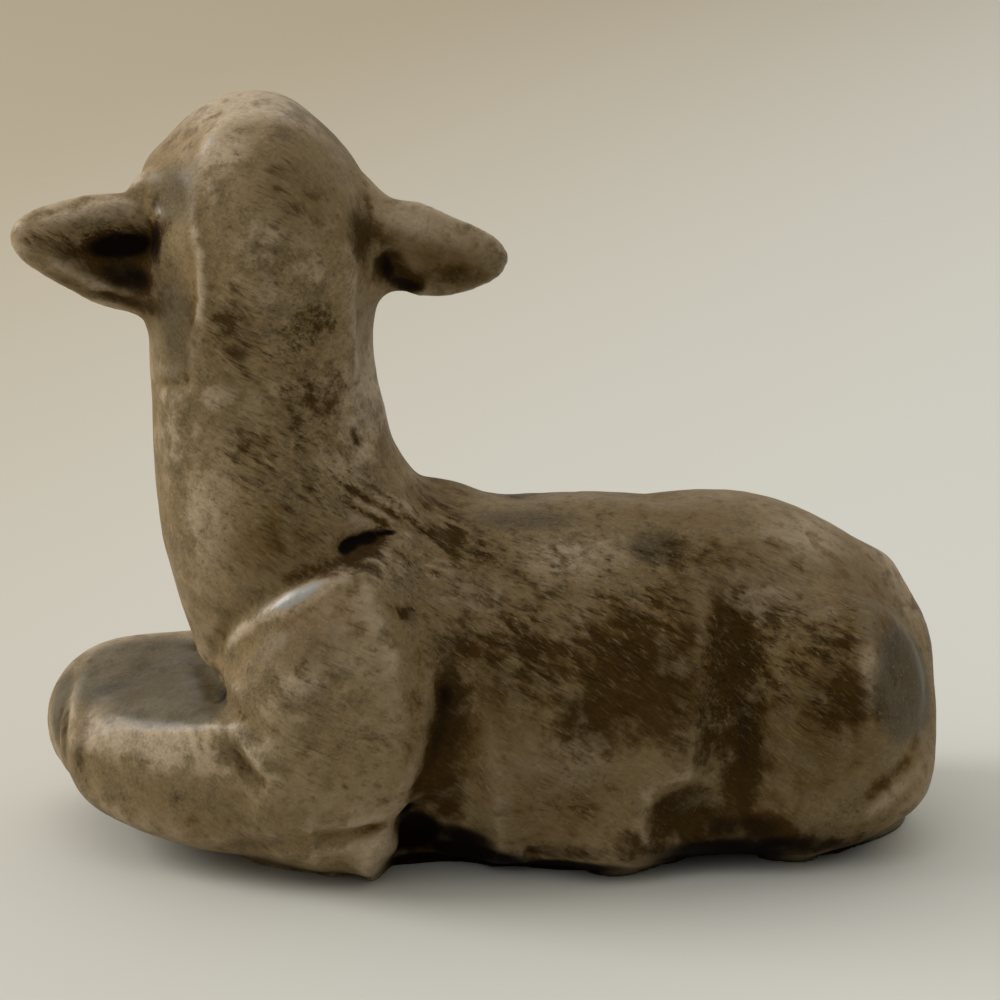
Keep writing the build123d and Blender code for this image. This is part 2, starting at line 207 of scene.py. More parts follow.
# Brown wash, heaviest over the flank, belly and haunch, where it is partly painted shade; the patches in the valley
# behind the shoulder, in the hollow behind the hoof and along the clay's foot are painted shade.
WASH_AND_SHADE_PATCHES = (
    Patch((545, 780), (110, 80), 0, 0.65), Patch((810, 720), (110, 120), 0, 0.85),
    Patch((640, 670), (190, 90), 0, 0.9), Patch((880, 620), (60, 90), 20, 0.8), Patch((420, 600), (60, 60), 0, 0.5),
    Patch((330, 530), (70, 34), 25, 0.6), Patch((305, 640), (60, 36), 28, 0.75),
    Patch((286, 536), (66, 46), 25, 0.85), Patch((730, 600), (120, 80), 0, 0.75),
    Patch((500, 705), (56, 64), 0, 0.9), Patch((250, 300), (80, 60), 0, 0.15), Patch((180, 310), (30, 70), 4, 0.4),
    Patch((280, 400), (60, 120), 0, 0.1), Patch((480, 590), (110, 60), -20, 0.5),
    Patch((300, 190), (50, 60), 0, 0.45), Patch((690, 520), (120, 30), 0, 0.4),
    Patch((440, 264), (80, 30), -8, 0.9), Patch((96, 222), (64, 18), 6, 0.7), Patch((450, 740), (36, 90), -6, 1.0),
    Patch((120, 245), (60, 36), 0, 0.6), Patch((200, 800), (120, 30), -12, 0.35),
    Patch((420, 840), (50, 36), 0, 1.0), Patch((730, 830), (90, 40), 0, 0.9),
)
# Near-black: stain pooled in the left ear's hollow, and painted shade in the hollow behind the hoof, in the gaps
# along the clay's foot, at the right ear's root and in the pocket behind the neck.
POOL_AND_SHADE_PATCHES = (
    Patch((412, 830), (38, 34), 20, 1.0), Patch((478, 854), (64, 14), -10, 1.0),
    Patch((722, 852), (90, 24), 0, 0.9), Patch((122, 246), (42, 15), 6, 0.95),
    Patch((128, 277), (34, 17), -16, 0.72), Patch((156, 244), (13, 24), 0, 0.75),
    Patch((60, 256), (30, 13), -22, 0.4), Patch((387, 267), (8, 22), 14, 0.8), Patch((404, 285), (22, 8), -14, 0.8),
    Patch((349, 545), (17, 9), 36, 1.0), Patch((366, 538), (17, 8), 14, 1.0), Patch((386, 533), (14, 4), 6, 0.9),
    Patch((430, 859), (56, 9), 0, 1.0), Patch((64, 738), (5, 26), 0, 0.4), Patch((570, 866), (70, 9), 0, 0.9),
    Patch((845, 850), (56, 14), 6, 0.8), Patch((752, 848), (120, 16), 2, 0.75),
    Patch((742, 830), (50, 20), 0, 0.62), Patch((466, 838), (44, 15), -14, 0.8),
)
# Grey on the satin flats: a grey wash with a painted reflection of the grey room.
GREY_PATCHES = (
    Patch((148, 672), (104, 60), -6, 1.0), Patch((62, 700), (16, 60), 0, 0.8), Patch((902, 684), (50, 64), 4, 1.0),
    Patch((656, 548), (34, 26), 20, 0.7), Patch((360, 238), (30, 38), -8, 0.45),
    Patch((172, 192), (34, 44), 30, 0.6), Patch((688, 814), (48, 32), 0, 0.6), Patch((172, 374), (24, 14), 0, 0.5),
    Patch((445, 690), (18, 40), 0, 0.5), Patch((362, 330), (14, 60), 0, 0.35), Patch((520, 520), (70, 14), 0, 0.6),
    Patch((174, 318), (28, 70), 4, 0.65), Patch((918, 684), (30, 56), 4, 1.0), Patch((60, 690), (20, 30), 0, 0.6),
)
# Worn, paler clay. Patches above one are painted glints on the dome, the cheek and the shoulder's rim, silver at
# their middles.
PALE_PATCHES = (
    Patch((756, 598), (60, 30), 0, 0.8), Patch((262, 246), (30, 34), 0, 0.45), Patch((216, 190), (16, 26), 0, 0.5),
    Patch((212, 400), (30, 14), 0, 0.7), Patch((570, 556), (50, 24), 0, 0.6), Patch((402, 576), (32, 22), 0, 0.6),
    Patch((486, 600), (26, 16), 0, 0.7), Patch((900, 600), (18, 50), 20, 0.6), Patch((175, 430), (32, 60), 0, 0.6),
    Patch((364, 420), (22, 80), -12, 0.8), Patch((345, 462), (40, 28), 20, 0.5),
    Patch((578, 632), (26, 30), 0, 0.6), Patch((575, 760), (40, 34), 0, 0.5), Patch((320, 640), (60, 60), 0, 0.4),
    Patch((430, 232), (60, 12), -18, 0.7), Patch((76, 212), (60, 10), 8, 0.7), Patch((450, 590), (50, 22), 0, 0.5),
    Patch((740, 600), (40, 14), 0, 0.4), Patch((176, 312), (26, 66), 4, 0.25), Patch((250, 104), (60, 26), 0, 0.9),
    Patch((150, 746), (90, 28), -6, 0.9), Patch((300, 684), (44, 32), 0, 0.6),
    Patch((250, 745), (30, 20), -40, 0.6), Patch((172, 404), (26, 16), 0, 0.6), Patch((540, 770), (76, 56), 0, 0.3),
    Patch((222, 150), (20, 30), 0, 0.6), Patch((212, 140), (7, 14), -25, 1.25),
    Patch((160, 212), (6, 13), 25, 1.15), Patch((300, 660), (60, 50), 0, 0.2),
    Patch((298, 596), (60, 13), 30, 1.35), Patch((236, 632), (26, 8), 50, 0.9),
    Patch((800, 540), (60, 30), 0, 0.45), Patch((300, 270), (50, 40), 0, 0.35), Patch((200, 520), (30, 80), 0, 0.4),
    Patch((884, 800), (40, 8), 42, 0.2), Patch((868, 680), (8, 60), 0, 0.5), Patch((377, 498), (38, 2.5), -32, 0.8),
    Patch((371, 509), (38, 2.5), -30, 0.8), Patch((428, 557), (26, 3), -15, 0.8),
    Patch((434, 567), (26, 3), -15, 0.8), Patch((440, 578), (26, 3), -15, 0.8), Patch((90, 715), (10, 40), 0, 0.6),
    Patch((370, 860), (30, 20), 0, 0.4),
)
FLEECE_PATCHES = (
    Patch((280, 330), (80, 110), 0, 0.8), Patch((300, 480), (110, 80), 0, 1.0), Patch((430, 560), (90, 70), 0, 1.0),
    Patch((580, 600), (150, 100), 0, 1.0), Patch((780, 640), (130, 110), 0, 0.9),
    Patch((330, 700), (110, 90), 0, 0.6), Patch((100, 226), (70, 26), 0, 1.0), Patch((270, 200), (70, 60), 0, 0.5),
    Patch((560, 790), (100, 60), 0, 0.5),
)

# The face, in millimetres from the middle of the head's front: across, height above the jaw; then width and depth.
EYE_ACROSS = 8.2
EYE_HEIGHT = 18.5
NOSTRIL_ACROSS = 2.5
NOSTRIL_HEIGHT = 8.6

# Where the forearms leave the chest, along the body, and how high their flat top is, in millimetres.
FOREARM_REACH = -25.0
FOREARM_TOP = 18.4


class LambSizes(PropertyGroup):
    """Sizes of the clay's modelling."""

    voxel: FloatProperty(name="Mesh size", description="Edge of the mesh that the clay is modelled in",
                         default=0.435 * MM, unit="LENGTH", precision=5)
    seam: FloatProperty(name="Slip reach", description="How far from a joint the clay is smoothed over",
                        default=4.0 * MM, unit="LENGTH", precision=5)
    margin: FloatProperty(name="Cutting margin", description="How far a piece's cut reaches past its CAD surface",
                          default=2.2 * MM, unit="LENGTH", precision=5)
    dent_size: FloatProperty(name="Dent size", description="Breadth of the hand's dents in the clay",
                             default=7.0 * MM, unit="LENGTH", precision=5)
    dent_depth: FloatProperty(name="Dent depth", description="Depth of the hand's dents in the clay",
                              default=0.5 * MM, unit="LENGTH", precision=5)
    lock_length: FloatProperty(name="Lock length", description="Length of one combed lock of the fleece",
                               default=3.2 * MM, unit="LENGTH", precision=5)
    lock_width: FloatProperty(name="Lock width", description="Width of one combed lock of the fleece",
                              default=1.1 * MM, unit="LENGTH", precision=5)
    lock_depth: FloatProperty(name="Lock depth", description="Relief of the combed fleece",
                              default=0.16 * MM, unit="LENGTH", precision=5)


class LambColours(PropertyGroup):
    """Colours of the clay and its stain, and of the painted shade, reflection and glints."""

    clay: FloatVectorProperty(name="Stained clay", description="Brown stain on the open surfaces", subtype="COLOR",
                              default=(0.232, 0.165, 0.082), min=0, max=1)
    # Dark stain, and painted shade along the foot, behind the hoof, in the valley behind the shoulder and at the
    # ear's root.
    dark: FloatVectorProperty(name="Dark stain and painted shade", description="Stain left thick in patches, and painted shade in recesses and along the foot", subtype="COLOR",
                              default=(0.038, 0.019, 0.003), min=0, max=1)
    # Near-black stain pooled in folds, and painted shade in deep recesses with a painted contact shadow along the
    # foot.
    pool: FloatVectorProperty(name="Pooled stain and painted shade", description="Stain dried in the deepest folds, and painted shade in deep recesses and along the foot", subtype="COLOR",
                              default=(0.006, 0.003, 0.002), min=0, max=1)
    # Brown wash over the lower body, partly painted shade.
    wash: FloatVectorProperty(name="Brown wash and painted shade", description="Thin stain and painted shade over the lower clay", subtype="COLOR",
                              default=(0.095, 0.053, 0.011), min=0, max=1)
    hair: FloatVectorProperty(name="Wiped hairs", description="Fine strokes where the stain is wiped thin",
                              subtype="COLOR", default=(0.30, 0.245, 0.155), min=0, max=1)
    # Grey wash with a painted reflection of the grey room on the satin flats.
    grey: FloatVectorProperty(name="Grey wash and painted reflection", description="Grey wash and painted reflection on the flats", subtype="COLOR",
                              default=(0.075, 0.060, 0.033), min=0, max=1)
    # Painted glint: a silver highlight on the shoulder's rim, the dome and the cheek.
    painted_glint: FloatVectorProperty(name="Painted glint", description="Painted silver glint on the shoulder's rim, the dome and the cheek",
                                subtype="COLOR", default=(0.33, 0.325, 0.29), min=0, max=1)
    # Worn clay; it also rings the painted glints.
    pale: FloatVectorProperty(name="Worn clay and painted glints", description="Paler clay where the stain is rubbed off, and round the painted glints",
                              subtype="COLOR", default=(0.41, 0.32, 0.21), min=0, max=1)
    bare: FloatVectorProperty(name="Bare clay", description="Unstained clay inside and underneath", subtype="COLOR",
                              default=(0.42, 0.30, 0.20), min=0, max=1)


class LambStage(PropertyGroup):
    """Camera, lamps and floor."""

    azimuth: FloatProperty(name="Azimuth", description="Camera's turn round the lamb", subtype="ANGLE",
                           default=math.radians(-8))
    elevation: FloatProperty(name="Elevation", description="Camera's angle above the floor", subtype="ANGLE",
                             default=math.radians(16))
    distance: FloatProperty(name="Distance", description="From the camera to the point it looks at",
                            default=320 * MM, unit="LENGTH", precision=4)
    target: FloatVectorProperty(name="Target", description="Point that the camera looks at", subtype="XYZ",
                                default=(2.5 * MM, 0, 36 * MM), precision=4)
    focal_pixels: FloatProperty(name="Focal length", description="Lens, in pixels of the square picture",
                                default=3136)
    floor: FloatVectorProperty(name="Floor", description="Colour of the floor", subtype="COLOR",
                               default=(0.67, 0.675, 0.625), min=0, max=1)
    far_floor: FloatVectorProperty(name="Far floor", description="Warmer colour of the floor's far side",
                                   subtype="COLOR", default=(0.46, 0.395, 0.285), min=0, max=1)
    key_power: FloatProperty(name="Key lamp", description="Power of the large soft lamp", default=6.2, unit="POWER")
    fill: FloatProperty(name="Fill", description="Strength of the room's light from above", default=0.93)
    shade: FloatProperty(name="Shade", description="Strength of the room's light behind the camera", default=0.11)


class Viewpoint:
    """The photograph's camera: where it stands, its axes, and what a pixel looks along."""

    def __init__(self, stage):
        azimuth, elevation = stage.azimuth, stage.elevation
        self.back = np.array((math.sin(azimuth) * math.cos(elevation),
                              -math.cos(azimuth) * math.cos(elevation),
                              math.sin(elevation)))
        self.target = np.array(stage.target)
        self.place = self.target + stage.distance * self.back
        self.right = np.cross(-self.back, (0, 0, 1))
        self.right /= np.linalg.norm(self.right)
        self.up = np.cross(self.right, -self.back)
        self.focal = stage.focal_pixels

    def ray(self, pixel):
        across = (pixel[0] - PHOTO_SIZE / 2) / self.focal
        upward = (PHOTO_SIZE / 2 - pixel[1]) / self.focal
        direction = across * self.right + upward * self.up - self.back
        return direction / np.linalg.norm(direction)

    def pixel_size(self, place):
        return ((self.place - place) @ self.back) / self.focal

    def axes(self, turn):
        """Right and up in the picture, turned anticlockwise by that many degrees."""
        angle = math.radians(turn)
        across = math.cos(angle) * self.right + math.sin(angle) * self.up
        upward = math.cos(angle) * self.up - math.sin(angle) * self.right
        return across, upward


class Clay:
    """A mesh as arrays: places, outward normals, triangles, and each vertex's neighbours."""

    def __init__(self, mesh):
        count = len(mesh.vertices)
        self.count = count
        self.places = np.empty(count * 3)
        mesh.vertices.foreach_get("co", self.places)
        self.places = self.places.reshape(-1, 3)
        edges = np.empty(len(mesh.edges) * 2, dtype=np.int64)
        mesh.edges.foreach_get("vertices", edges)
        edges = edges.reshape(-1, 2)
        self.starts = np.concatenate((edges[:, 0], edges[:, 1]))
        self.ends = np.concatenate((edges[:, 1], edges[:, 0]))
        self.valence = np.maximum(np.bincount(self.starts, minlength=count), 1)[:, None]
        mesh.calc_loop_triangles()
        triangles = np.empty(len(mesh.loop_triangles) * 3, dtype=np.int64)
        mesh.loop_triangles.foreach_get("vertices", triangles)
        self.triangles = triangles.reshape(-1, 3)
        self.refresh()

    def refresh(self):
        """Work out the normals again after the places have moved."""
        a, b, c = (self.places[self.triangles[:, corner]] for corner in range(3))
        faces = np.cross(b - a, c - a)
        normals = np.zeros_like(self.places)
        for axis in range(3):
            for corner in range(3):
                normals[:, axis] += np.bincount(self.triangles[:, corner], faces[:, axis], self.count)
        length = np.linalg.norm(normals, axis=1, keepdims=True)
        self.normals = normals / np.maximum(length, 1e-20)

    def tree(self):
        return BVHTree.FromPolygons(self.places.tolist(), self.triangles.tolist())

    def neighbour_mean(self, values):
        mean = np.empty_like(values)
        for axis in range(values.shape[1]):
            mean[:, axis] = np.bincount(self.starts, values[self.ends, axis], self.count)
        return mean / self.valence

    def smoothed(self, values, passes, share):
        """Values moved towards their neighbours' mean, by that share of the way in each pass."""
        for _ in range(passes):
            values = values + share * (self.neighbour_mean(values) - values)
        return values

    def write(self, mesh):
        mesh.vertices.foreach_set("co", self.places.ravel())
        mesh.update()


def merged_copy(node):
    """A node's mesh with its loose triangles joined up. The node itself stays as it is."""
    mesh = bpy.data.meshes.new(node.name + "_copy")
    shape = bmesh.new()
    shape.from_mesh(node.data)
    bmesh.ops.remove_doubles(shape, verts=shape.verts, dist=0.001 * MM)
    shape.to_mesh(mesh)
    shape.free()
    return mesh


def evaluated_mesh(obj):
    graph = bpy.context.evaluated_depsgraph_get()
    return bpy.data.meshes.new_from_object(obj.evaluated_get(graph))


def work_object(name, mesh):
    obj = bpy.data.objects.new(name, mesh)
    bpy.context.scene.collection.objects.link(obj)
    return obj


def remeshed(mesh, voxel):
    """The mesh as one closed skin of even squares."""
    obj = work_object("remesh_work", mesh)
    modifier = obj.modifiers.new("Voxels", "REMESH")
    modifier.mode = "VOXEL"
    modifier.voxel_size = voxel
    result = evaluated_mesh(obj)
    bpy.data.objects.remove(obj)
    bpy.data.meshes.remove(mesh)
    return result


@cache
def node_trees():
    """A search tree of each CAD node's surface, with its box."""
    trees = {}
    for name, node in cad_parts.items():
        mesh = merged_copy(node)
        clay = Clay(mesh)
        bpy.data.meshes.remove(mesh)
        trees[name] = (clay.tree(), clay.places.min(0), clay.places.max(0))
    return trees


def second_distance(places, trees, reach):
    """Each place's distance to the second nearest CAD node, up to a reach."""
    nearest = np.full((len(places), 2), reach)
    for tree, low, high in trees.values():
        near = np.flatnonzero(np.all((places > low - reach) & (places < high + reach), axis=1))
        for index in near:
            found = tree.find_nearest(places[index], nearest[index, 1])
            if found[0] is not None:
                nearest[index] = sorted((nearest[index, 0], found[3], nearest[index, 1]))[:2]
    return nearest[:, 1]


def surface_hit(tree, origin, direction, what):
    place, normal, _, _ = tree.ray_cast(Vector(origin), Vector(direction))
    if place is None:
        raise RuntimeError(f"{what} doesn't meet the clay")
    return np.array(place), np.array(normal)


def photo_hit(tree, view, pixel, what):
    """The place on the clay under a pixel, or beside it where the pixel just misses the clay's outline."""
    direction = Vector(view.ray(pixel))
    place, normal, _, _ = tree.ray_cast(Vector(view.place), direction)
    if place is None:
        steps = [Vector(view.place) + direction * reach for reach in np.arange(0.25, 0.40, 0.001)]
        found = min((tree.find_nearest(step) for step in steps), key=lambda hit: hit[3])
        place, normal, _, gap = found
        if gap > OUTLINE_SLACK:
            raise RuntimeError(f"{what} doesn't meet the clay: it is {gap / MM:.1f} mm off")
    return np.array(place), np.array(normal)


def other_flank(tree, place, what):
    """The place on the far flank at the same length and height."""
    return surface_hit(tree, (place[0], 0.1, place[2]), (0, -1, 0), what)[0]


def path_points(tree, view, stroke):
    """The stroke's path on the clay, once for each side it is on."""
    hits = [photo_hit(tree, view, pixel, stroke.name)[0] for pixel in stroke.path]
    paths = [np.array(hits)]
    if stroke.mirrored:
        paths.append(np.array([other_flank(tree, place, stroke.name) for place in hits]))
    return paths


def spread(points, step):
    """Points along a path, about a step apart, with each one's share of the length."""
    spans = np.linalg.norm(np.diff(points, axis=0), axis=1)
    along = np.concatenate(((0,), np.cumsum(spans)))
    wanted = np.linspace(0, along[-1], max(2, int(along[-1] / step) + 1))
    line = np.stack([np.interp(wanted, along, points[:, axis]) for axis in range(3)], axis=1)
    return line, wanted / along[-1]


def press_line(clay, tree, points, width, depth):
    """Press a groove along a line, or raise a ridge where the depth is below zero. It fades out at its ends."""
    line, share = spread(points, width / 3)
    reach = 3 * width
    near = np.flatnonzero(np.all((clay.places > line.min(0) - reach) & (clay.places < line.max(0) + reach), axis=1))
    if not len(near):
        return
    gaps = np.linalg.norm(clay.places[near, None] - line[None], axis=2)
    closest = gaps.argmin(axis=1)
    normals = np.array([tree.find_nearest(Vector(point))[1] for point in line])
    facing = np.clip((clay.normals[near] * normals[closest]).sum(1) + 0.2, 0, 1)
    fade = np.clip(np.minimum(share, 1 - share) / 0.18 + 0.25, 0, 1)[closest]
    weight = np.exp(-(gaps.min(axis=1) / width) ** 2) * facing * fade
    clay.places[near] -= (depth * weight)[:, None] * clay.normals[near]


def oval_weight(clay, centre, axes, radii, square):
    """One in the middle of an oval on the surface, falling to nothing past its edge; square makes the middle flatter."""
    offset = clay.places - centre
    across, upward = offset @ axes[0] / radii[0], offset @ axes[1] / radii[1]
    inward = (offset - np.outer(offset @ axes[0], axes[0]) - np.outer(offset @ axes[1], axes[1]))
    deep = np.linalg.norm(inward, axis=1) / max(radii)
    return np.exp(-(across ** 2 + upward ** 2 + deep ** 2) ** square)


def press_oval(clay, centre, normal, axes, radii, sink, flat):
    """Press an oval flat, or sink or raise it."""
    facing = np.clip(0.7 * (clay.normals @ normal) + 0.35, 0, 1)
    weight = oval_weight(clay, centre, axes, radii, 2 if flat else 1) * facing
    total = weight.sum()
    if total < 1e-9:
        return
    middle = (clay.places * weight[:, None]).sum(0) / total
    outward = (clay.normals * weight[:, None]).sum(0)
    outward /= np.linalg.norm(outward)
    height = (clay.places - middle) @ outward
    clay.places -= (weight * (flat * height + sink))[:, None] * outward


def cut_under(clay, centre, outward, reach, height, depth):
    """Push the foot of a flank inward, so that it stands back from the floor."""
    along = (clay.places[:, 0] - centre[0]) / reach
    inset = (clay.places - centre) @ outward / (7 * MM)
    near = np.clip(1 + inset, 0, 1)
    weight = np.exp(-along ** 4 - (clay.places[:, 2] / height) ** 4) * near * near * (3 - 2 * near)
    clay.places -= (depth * weight)[:, None] * outward


def paint(clay, tree, view, patches, mask, square, flats=False):
    """Lay patches into a mask, and the same patches a little moved on the far flank. Some keep to flats."""
    slope, lift = (2.0, -0.8) if flats else (1.0, 0.6)
    for patch in patches:
        centre, normal = photo_hit(tree, view, patch.centre, "a patch")
        size = view.pixel_size(centre)
        radii = [radius * size for radius in patch.radii]
        axes = view.axes(patch.turn)
        facing = np.clip(slope * (clay.normals @ normal) + lift, 0, 1)
        np.maximum(mask, patch.amount * facing * oval_weight(clay, centre, axes, radii, square), out=mask)
        mirror = np.array((1, -1, 1))
        far = np.array((centre[0] + 1.5 * MM, -centre[1], centre[2]))
        far_axes = [axis * mirror for axis in axes]
        far_facing = np.clip(slope * (clay.normals @ (normal * mirror)) + lift, 0, 1)
        if centre[2] < 45 * MM:
            np.maximum(mask, patch.amount * far_facing * oval_weight(clay, far, far_axes, radii, square),
                       out=mask)


def model_face(clay, tree):
    """Eyes, nostrils and a mouth on the side of the head that the photograph doesn't show."""
    low, high = (np.array(corner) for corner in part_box("head"))
    middle = (low[0] + high[0]) / 2
    front = high[1] + 10 * MM
    stain = np.zeros(clay.count)

    def on_face(across, height):
        return surface_hit(tree, (middle + across * MM, front, low[2] + height * MM), (0, -1, 0), "the face")

    for side in (-1, 1):
        eye, normal = on_face(side * EYE_ACROSS, EYE_HEIGHT)
        axes = (np.array((1.0, 0, 0)), np.array((0, 0, 1.0)))
        press_oval(clay, eye, normal, axes, (3.2 * MM, 2.4 * MM), 0.7 * MM, 0.0)
        press_oval(clay, eye, normal, axes, (1.7 * MM, 1.3 * MM), -0.9 * MM, 0.0)
        lid = [on_face(side * (EYE_ACROSS + across), EYE_HEIGHT + height)[0]
               for across, height in ((-2.4, -0.3), (-1.2, 1.3), (0.4, 1.6), (2.0, 0.6))]
        press_line(clay, tree, np.array(lid), 0.6 * MM, 0.5 * MM)
        stain = np.maximum(stain, oval_weight(clay, eye, axes, (2.0 * MM, 1.5 * MM), 2))
        nostril = [on_face(side * (NOSTRIL_ACROSS + across), NOSTRIL_HEIGHT + height)[0]
                   for across, height in ((-0.9, -0.8), (0.2, 0.1), (0.8, 1.0))]
        press_line(clay, tree, np.array(nostril), 0.7 * MM, 0.8 * MM)
        stain = np.maximum(stain, 0.9 * oval_weight(clay, nostril[1], axes, (0.9 * MM, 0.9 * MM), 1))
    mouth = [on_face(across, height)[0]
             for across, height in ((-4.6, 5.6), (-2.6, 4.4), (-0.8, 4.9), (0, 5.6),
                                    (0.8, 4.9), (2.6, 4.4), (4.6, 5.6))]
    press_line(clay, tree, np.array(mouth), 0.6 * MM, 0.6 * MM)
    philtrum = [on_face(0, height)[0] for height in (5.6, 7.0, 8.2)]
    press_line(clay, tree, np.array(philtrum), 0.5 * MM, 0.4 * MM)
    return stain


def fleece_relief(sizes, material):
    """Geometry Nodes tree: the hand's broad dents everywhere, and combed locks where the fleece mask is."""
    tree = bpy.data.node_groups.new("fleece_relief", "GeometryNodeTree")
    face = tree.interface
    face.new_socket("Geometry", in_out="INPUT", socket_type="NodeSocketGeometry")
    values = (("Dent Size", sizes.dent_size), ("Dent Depth", sizes.dent_depth), ("Lock Length", sizes.lock_length),
              ("Lock Width", sizes.lock_width), ("Lock Depth", sizes.lock_depth))
    for name, value in values:
        face.new_socket(name, in_out="INPUT", socket_type="NodeSocketFloat").default_value = value
    face.new_socket("Geometry", in_out="OUTPUT", socket_type="NodeSocketGeometry")
    nodes, links = tree.nodes, tree.links

    def add(kind, **settings):
        node = nodes.new(kind)
        for name, value in settings.items():
            setattr(node, name, value)
        return node

    def maths(operation, first, second):
        node = add("ShaderNodeMath", operation=operation)
        for socket, value in zip(node.inputs, (first, second)):
            if isinstance(value, (int, float)):
                socket.default_value = value
            else:
                links.new(value, socket)
        return node.outputs[0]

    given = add("NodeGroupInput")
    place = add("GeometryNodeInputPosition").outputs[0]
    normal = add("GeometryNodeInputNormal").outputs[0]

    dent = add("ShaderNodeTexNoise")
    links.new(place, dent.inputs["Vector"])
    links.new(maths("DIVIDE", 1.0, given.outputs["Dent Size"]), dent.inputs["Scale"])
    dent.inputs["Detail"].default_value = 2.5
    dent_height = maths("MULTIPLY", maths("SUBTRACT", dent.outputs[0], 0.5), given.outputs["Dent Depth"])

    turned = add("ShaderNodeVectorRotate", rotation_type="EULER_XYZ")
    turned.inputs["Rotation"].default_value = (0, math.radians(-38), 0)
    links.new(place, turned.inputs["Vector"])
    stretch = add("ShaderNodeCombineXYZ")
    links.new(maths("DIVIDE", 1.0, given.outputs["Lock Length"]), stretch.inputs[0])
    for socket in stretch.inputs[1:]:
        links.new(maths("DIVIDE", 1.0, given.outputs["Lock Width"]), socket)
    scaled = add("ShaderNodeVectorMath", operation="MULTIPLY")
    links.new(turned.outputs[0], scaled.inputs[0])
    links.new(stretch.outputs[0], scaled.inputs[1])
    lock = add("ShaderNodeTexNoise")
    lock.inputs["Scale"].default_value = 1.0
    lock.inputs["Detail"].default_value = 1.0
    lock.inputs["Distortion"].default_value = 0.6
    links.new(scaled.outputs[0], lock.inputs["Vector"])
    mask = add("GeometryNodeInputNamedAttribute", data_type="FLOAT")
    mask.inputs["Name"].default_value = "fleece"
    lock_height = maths("MULTIPLY", maths("SUBTRACT", lock.outputs[0], 0.5), given.outputs["Lock Depth"])
    lock_height = maths("MULTIPLY", lock_height, mask.outputs[0])

    along = add("ShaderNodeVectorMath", operation="SCALE")
    links.new(normal, along.inputs[0])
    keep = add("GeometryNodeInputNamedAttribute", data_type="FLOAT")
    keep.inputs["Name"].default_value = "free"
    links.new(maths("MULTIPLY", maths("ADD", dent_height, lock_height), keep.outputs[0]), along.inputs["Scale"])
    moved = add("GeometryNodeSetPosition")
    links.new(given.outputs["Geometry"], moved.inputs["Geometry"])
    links.new(along.outputs[0], moved.inputs["Offset"])
    real = add("GeometryNodeRealizeInstances")
    links.new(moved.outputs[0], real.inputs[0])
    dressed = add("GeometryNodeSetMaterial")
    dressed.inputs["Material"].default_value = material
    links.new(real.outputs[0], dressed.inputs[0])
    links.new(dressed.outputs[0], add("NodeGroupOutput").inputs[0])
    return tree


def set_mask(mesh, name, values):
    attribute = mesh.attributes.get(name) or mesh.attributes.new(name, "FLOAT", "POINT")
    attribute.data.foreach_set("value", np.ascontiguousarray(values, dtype=np.float32))


def get_mask(mesh, name):
    values = np.empty(len(mesh.vertices), dtype=np.float32)
    mesh.attributes[name].data.foreach_get("value", values)
    return values


def shader_group(name, inputs, outputs):
    """A shader node group with its sockets, and a helper that adds nodes to it."""
    group = bpy.data.node_groups.new(name, "ShaderNodeTree")
    for socket, kind, value in inputs:
        made = group.interface.new_socket(socket, in_out="INPUT", socket_type="NodeSocket" + kind)
        if value is not None:
            made.default_value = value
    for socket, kind in outputs:
        group.interface.new_socket(socket, in_out="OUTPUT", socket_type="NodeSocket" + kind)
    return group


class Wiring:
    """Adds and joins nodes in one tree."""

    def __init__(self, tree):
        self.nodes, self.links = tree.nodes, tree.links

    def add(self, kind, inputs=None, **settings):
        node = self.nodes.new(kind)
        for name, value in settings.items():
            setattr(node, name, value)
        for name, value in (inputs or {}).items():
            self.feed(node.inputs[name], value)
        return node

    def feed(self, socket, value):
        if isinstance(value, bpy.types.NodeSocket):
            self.links.new(value, socket)
        else:
            socket.default_value = value

    def maths(self, operation, first, second=0.0, clamp=False):
        return self.add("ShaderNodeMath", {0: first, 1: second}, operation=operation, use_clamp=clamp).outputs[0]

    def blend(self, parts):
        """Sum of values, each times its own weight."""
        total = None
        for value, weight in parts:
            total = self.add("ShaderNodeMath", {0: value, 1: weight, 2: 0.0 if total is None else total},
                             operation="MULTIPLY_ADD").outputs[0]
        return total

    def ramp(self, value, low, high):
        """Smooth step from nothing at low to one at high."""
        return self.add("ShaderNodeMapRange", {"Value": value, "From Min": low, "From Max": high},
                        interpolation_type="SMOOTHSTEP").outputs[0]

    def mix(self, share, first, second):
        node = self.add("ShaderNodeMix", {"Factor": share}, data_type="RGBA")
        for socket, value in zip((socket for socket in node.inputs if socket.type == "RGBA"), (first, second)):
            self.feed(socket, value)
        return next(socket for socket in node.outputs if socket.type == "RGBA")

    def tone(self, base, brightness):
        """A colour made lighter or darker."""
        return self.add("ShaderNodeVectorMath", {0: base, "Scale": brightness}, operation="SCALE").outputs[0]

    def noise(self, vector, size, detail=2.0, roughness=0.5):
        return self.add("ShaderNodeTexNoise", {"Vector": vector, "Scale": 1 / size, "Detail": detail,
                                               "Roughness": roughness}).outputs[0]


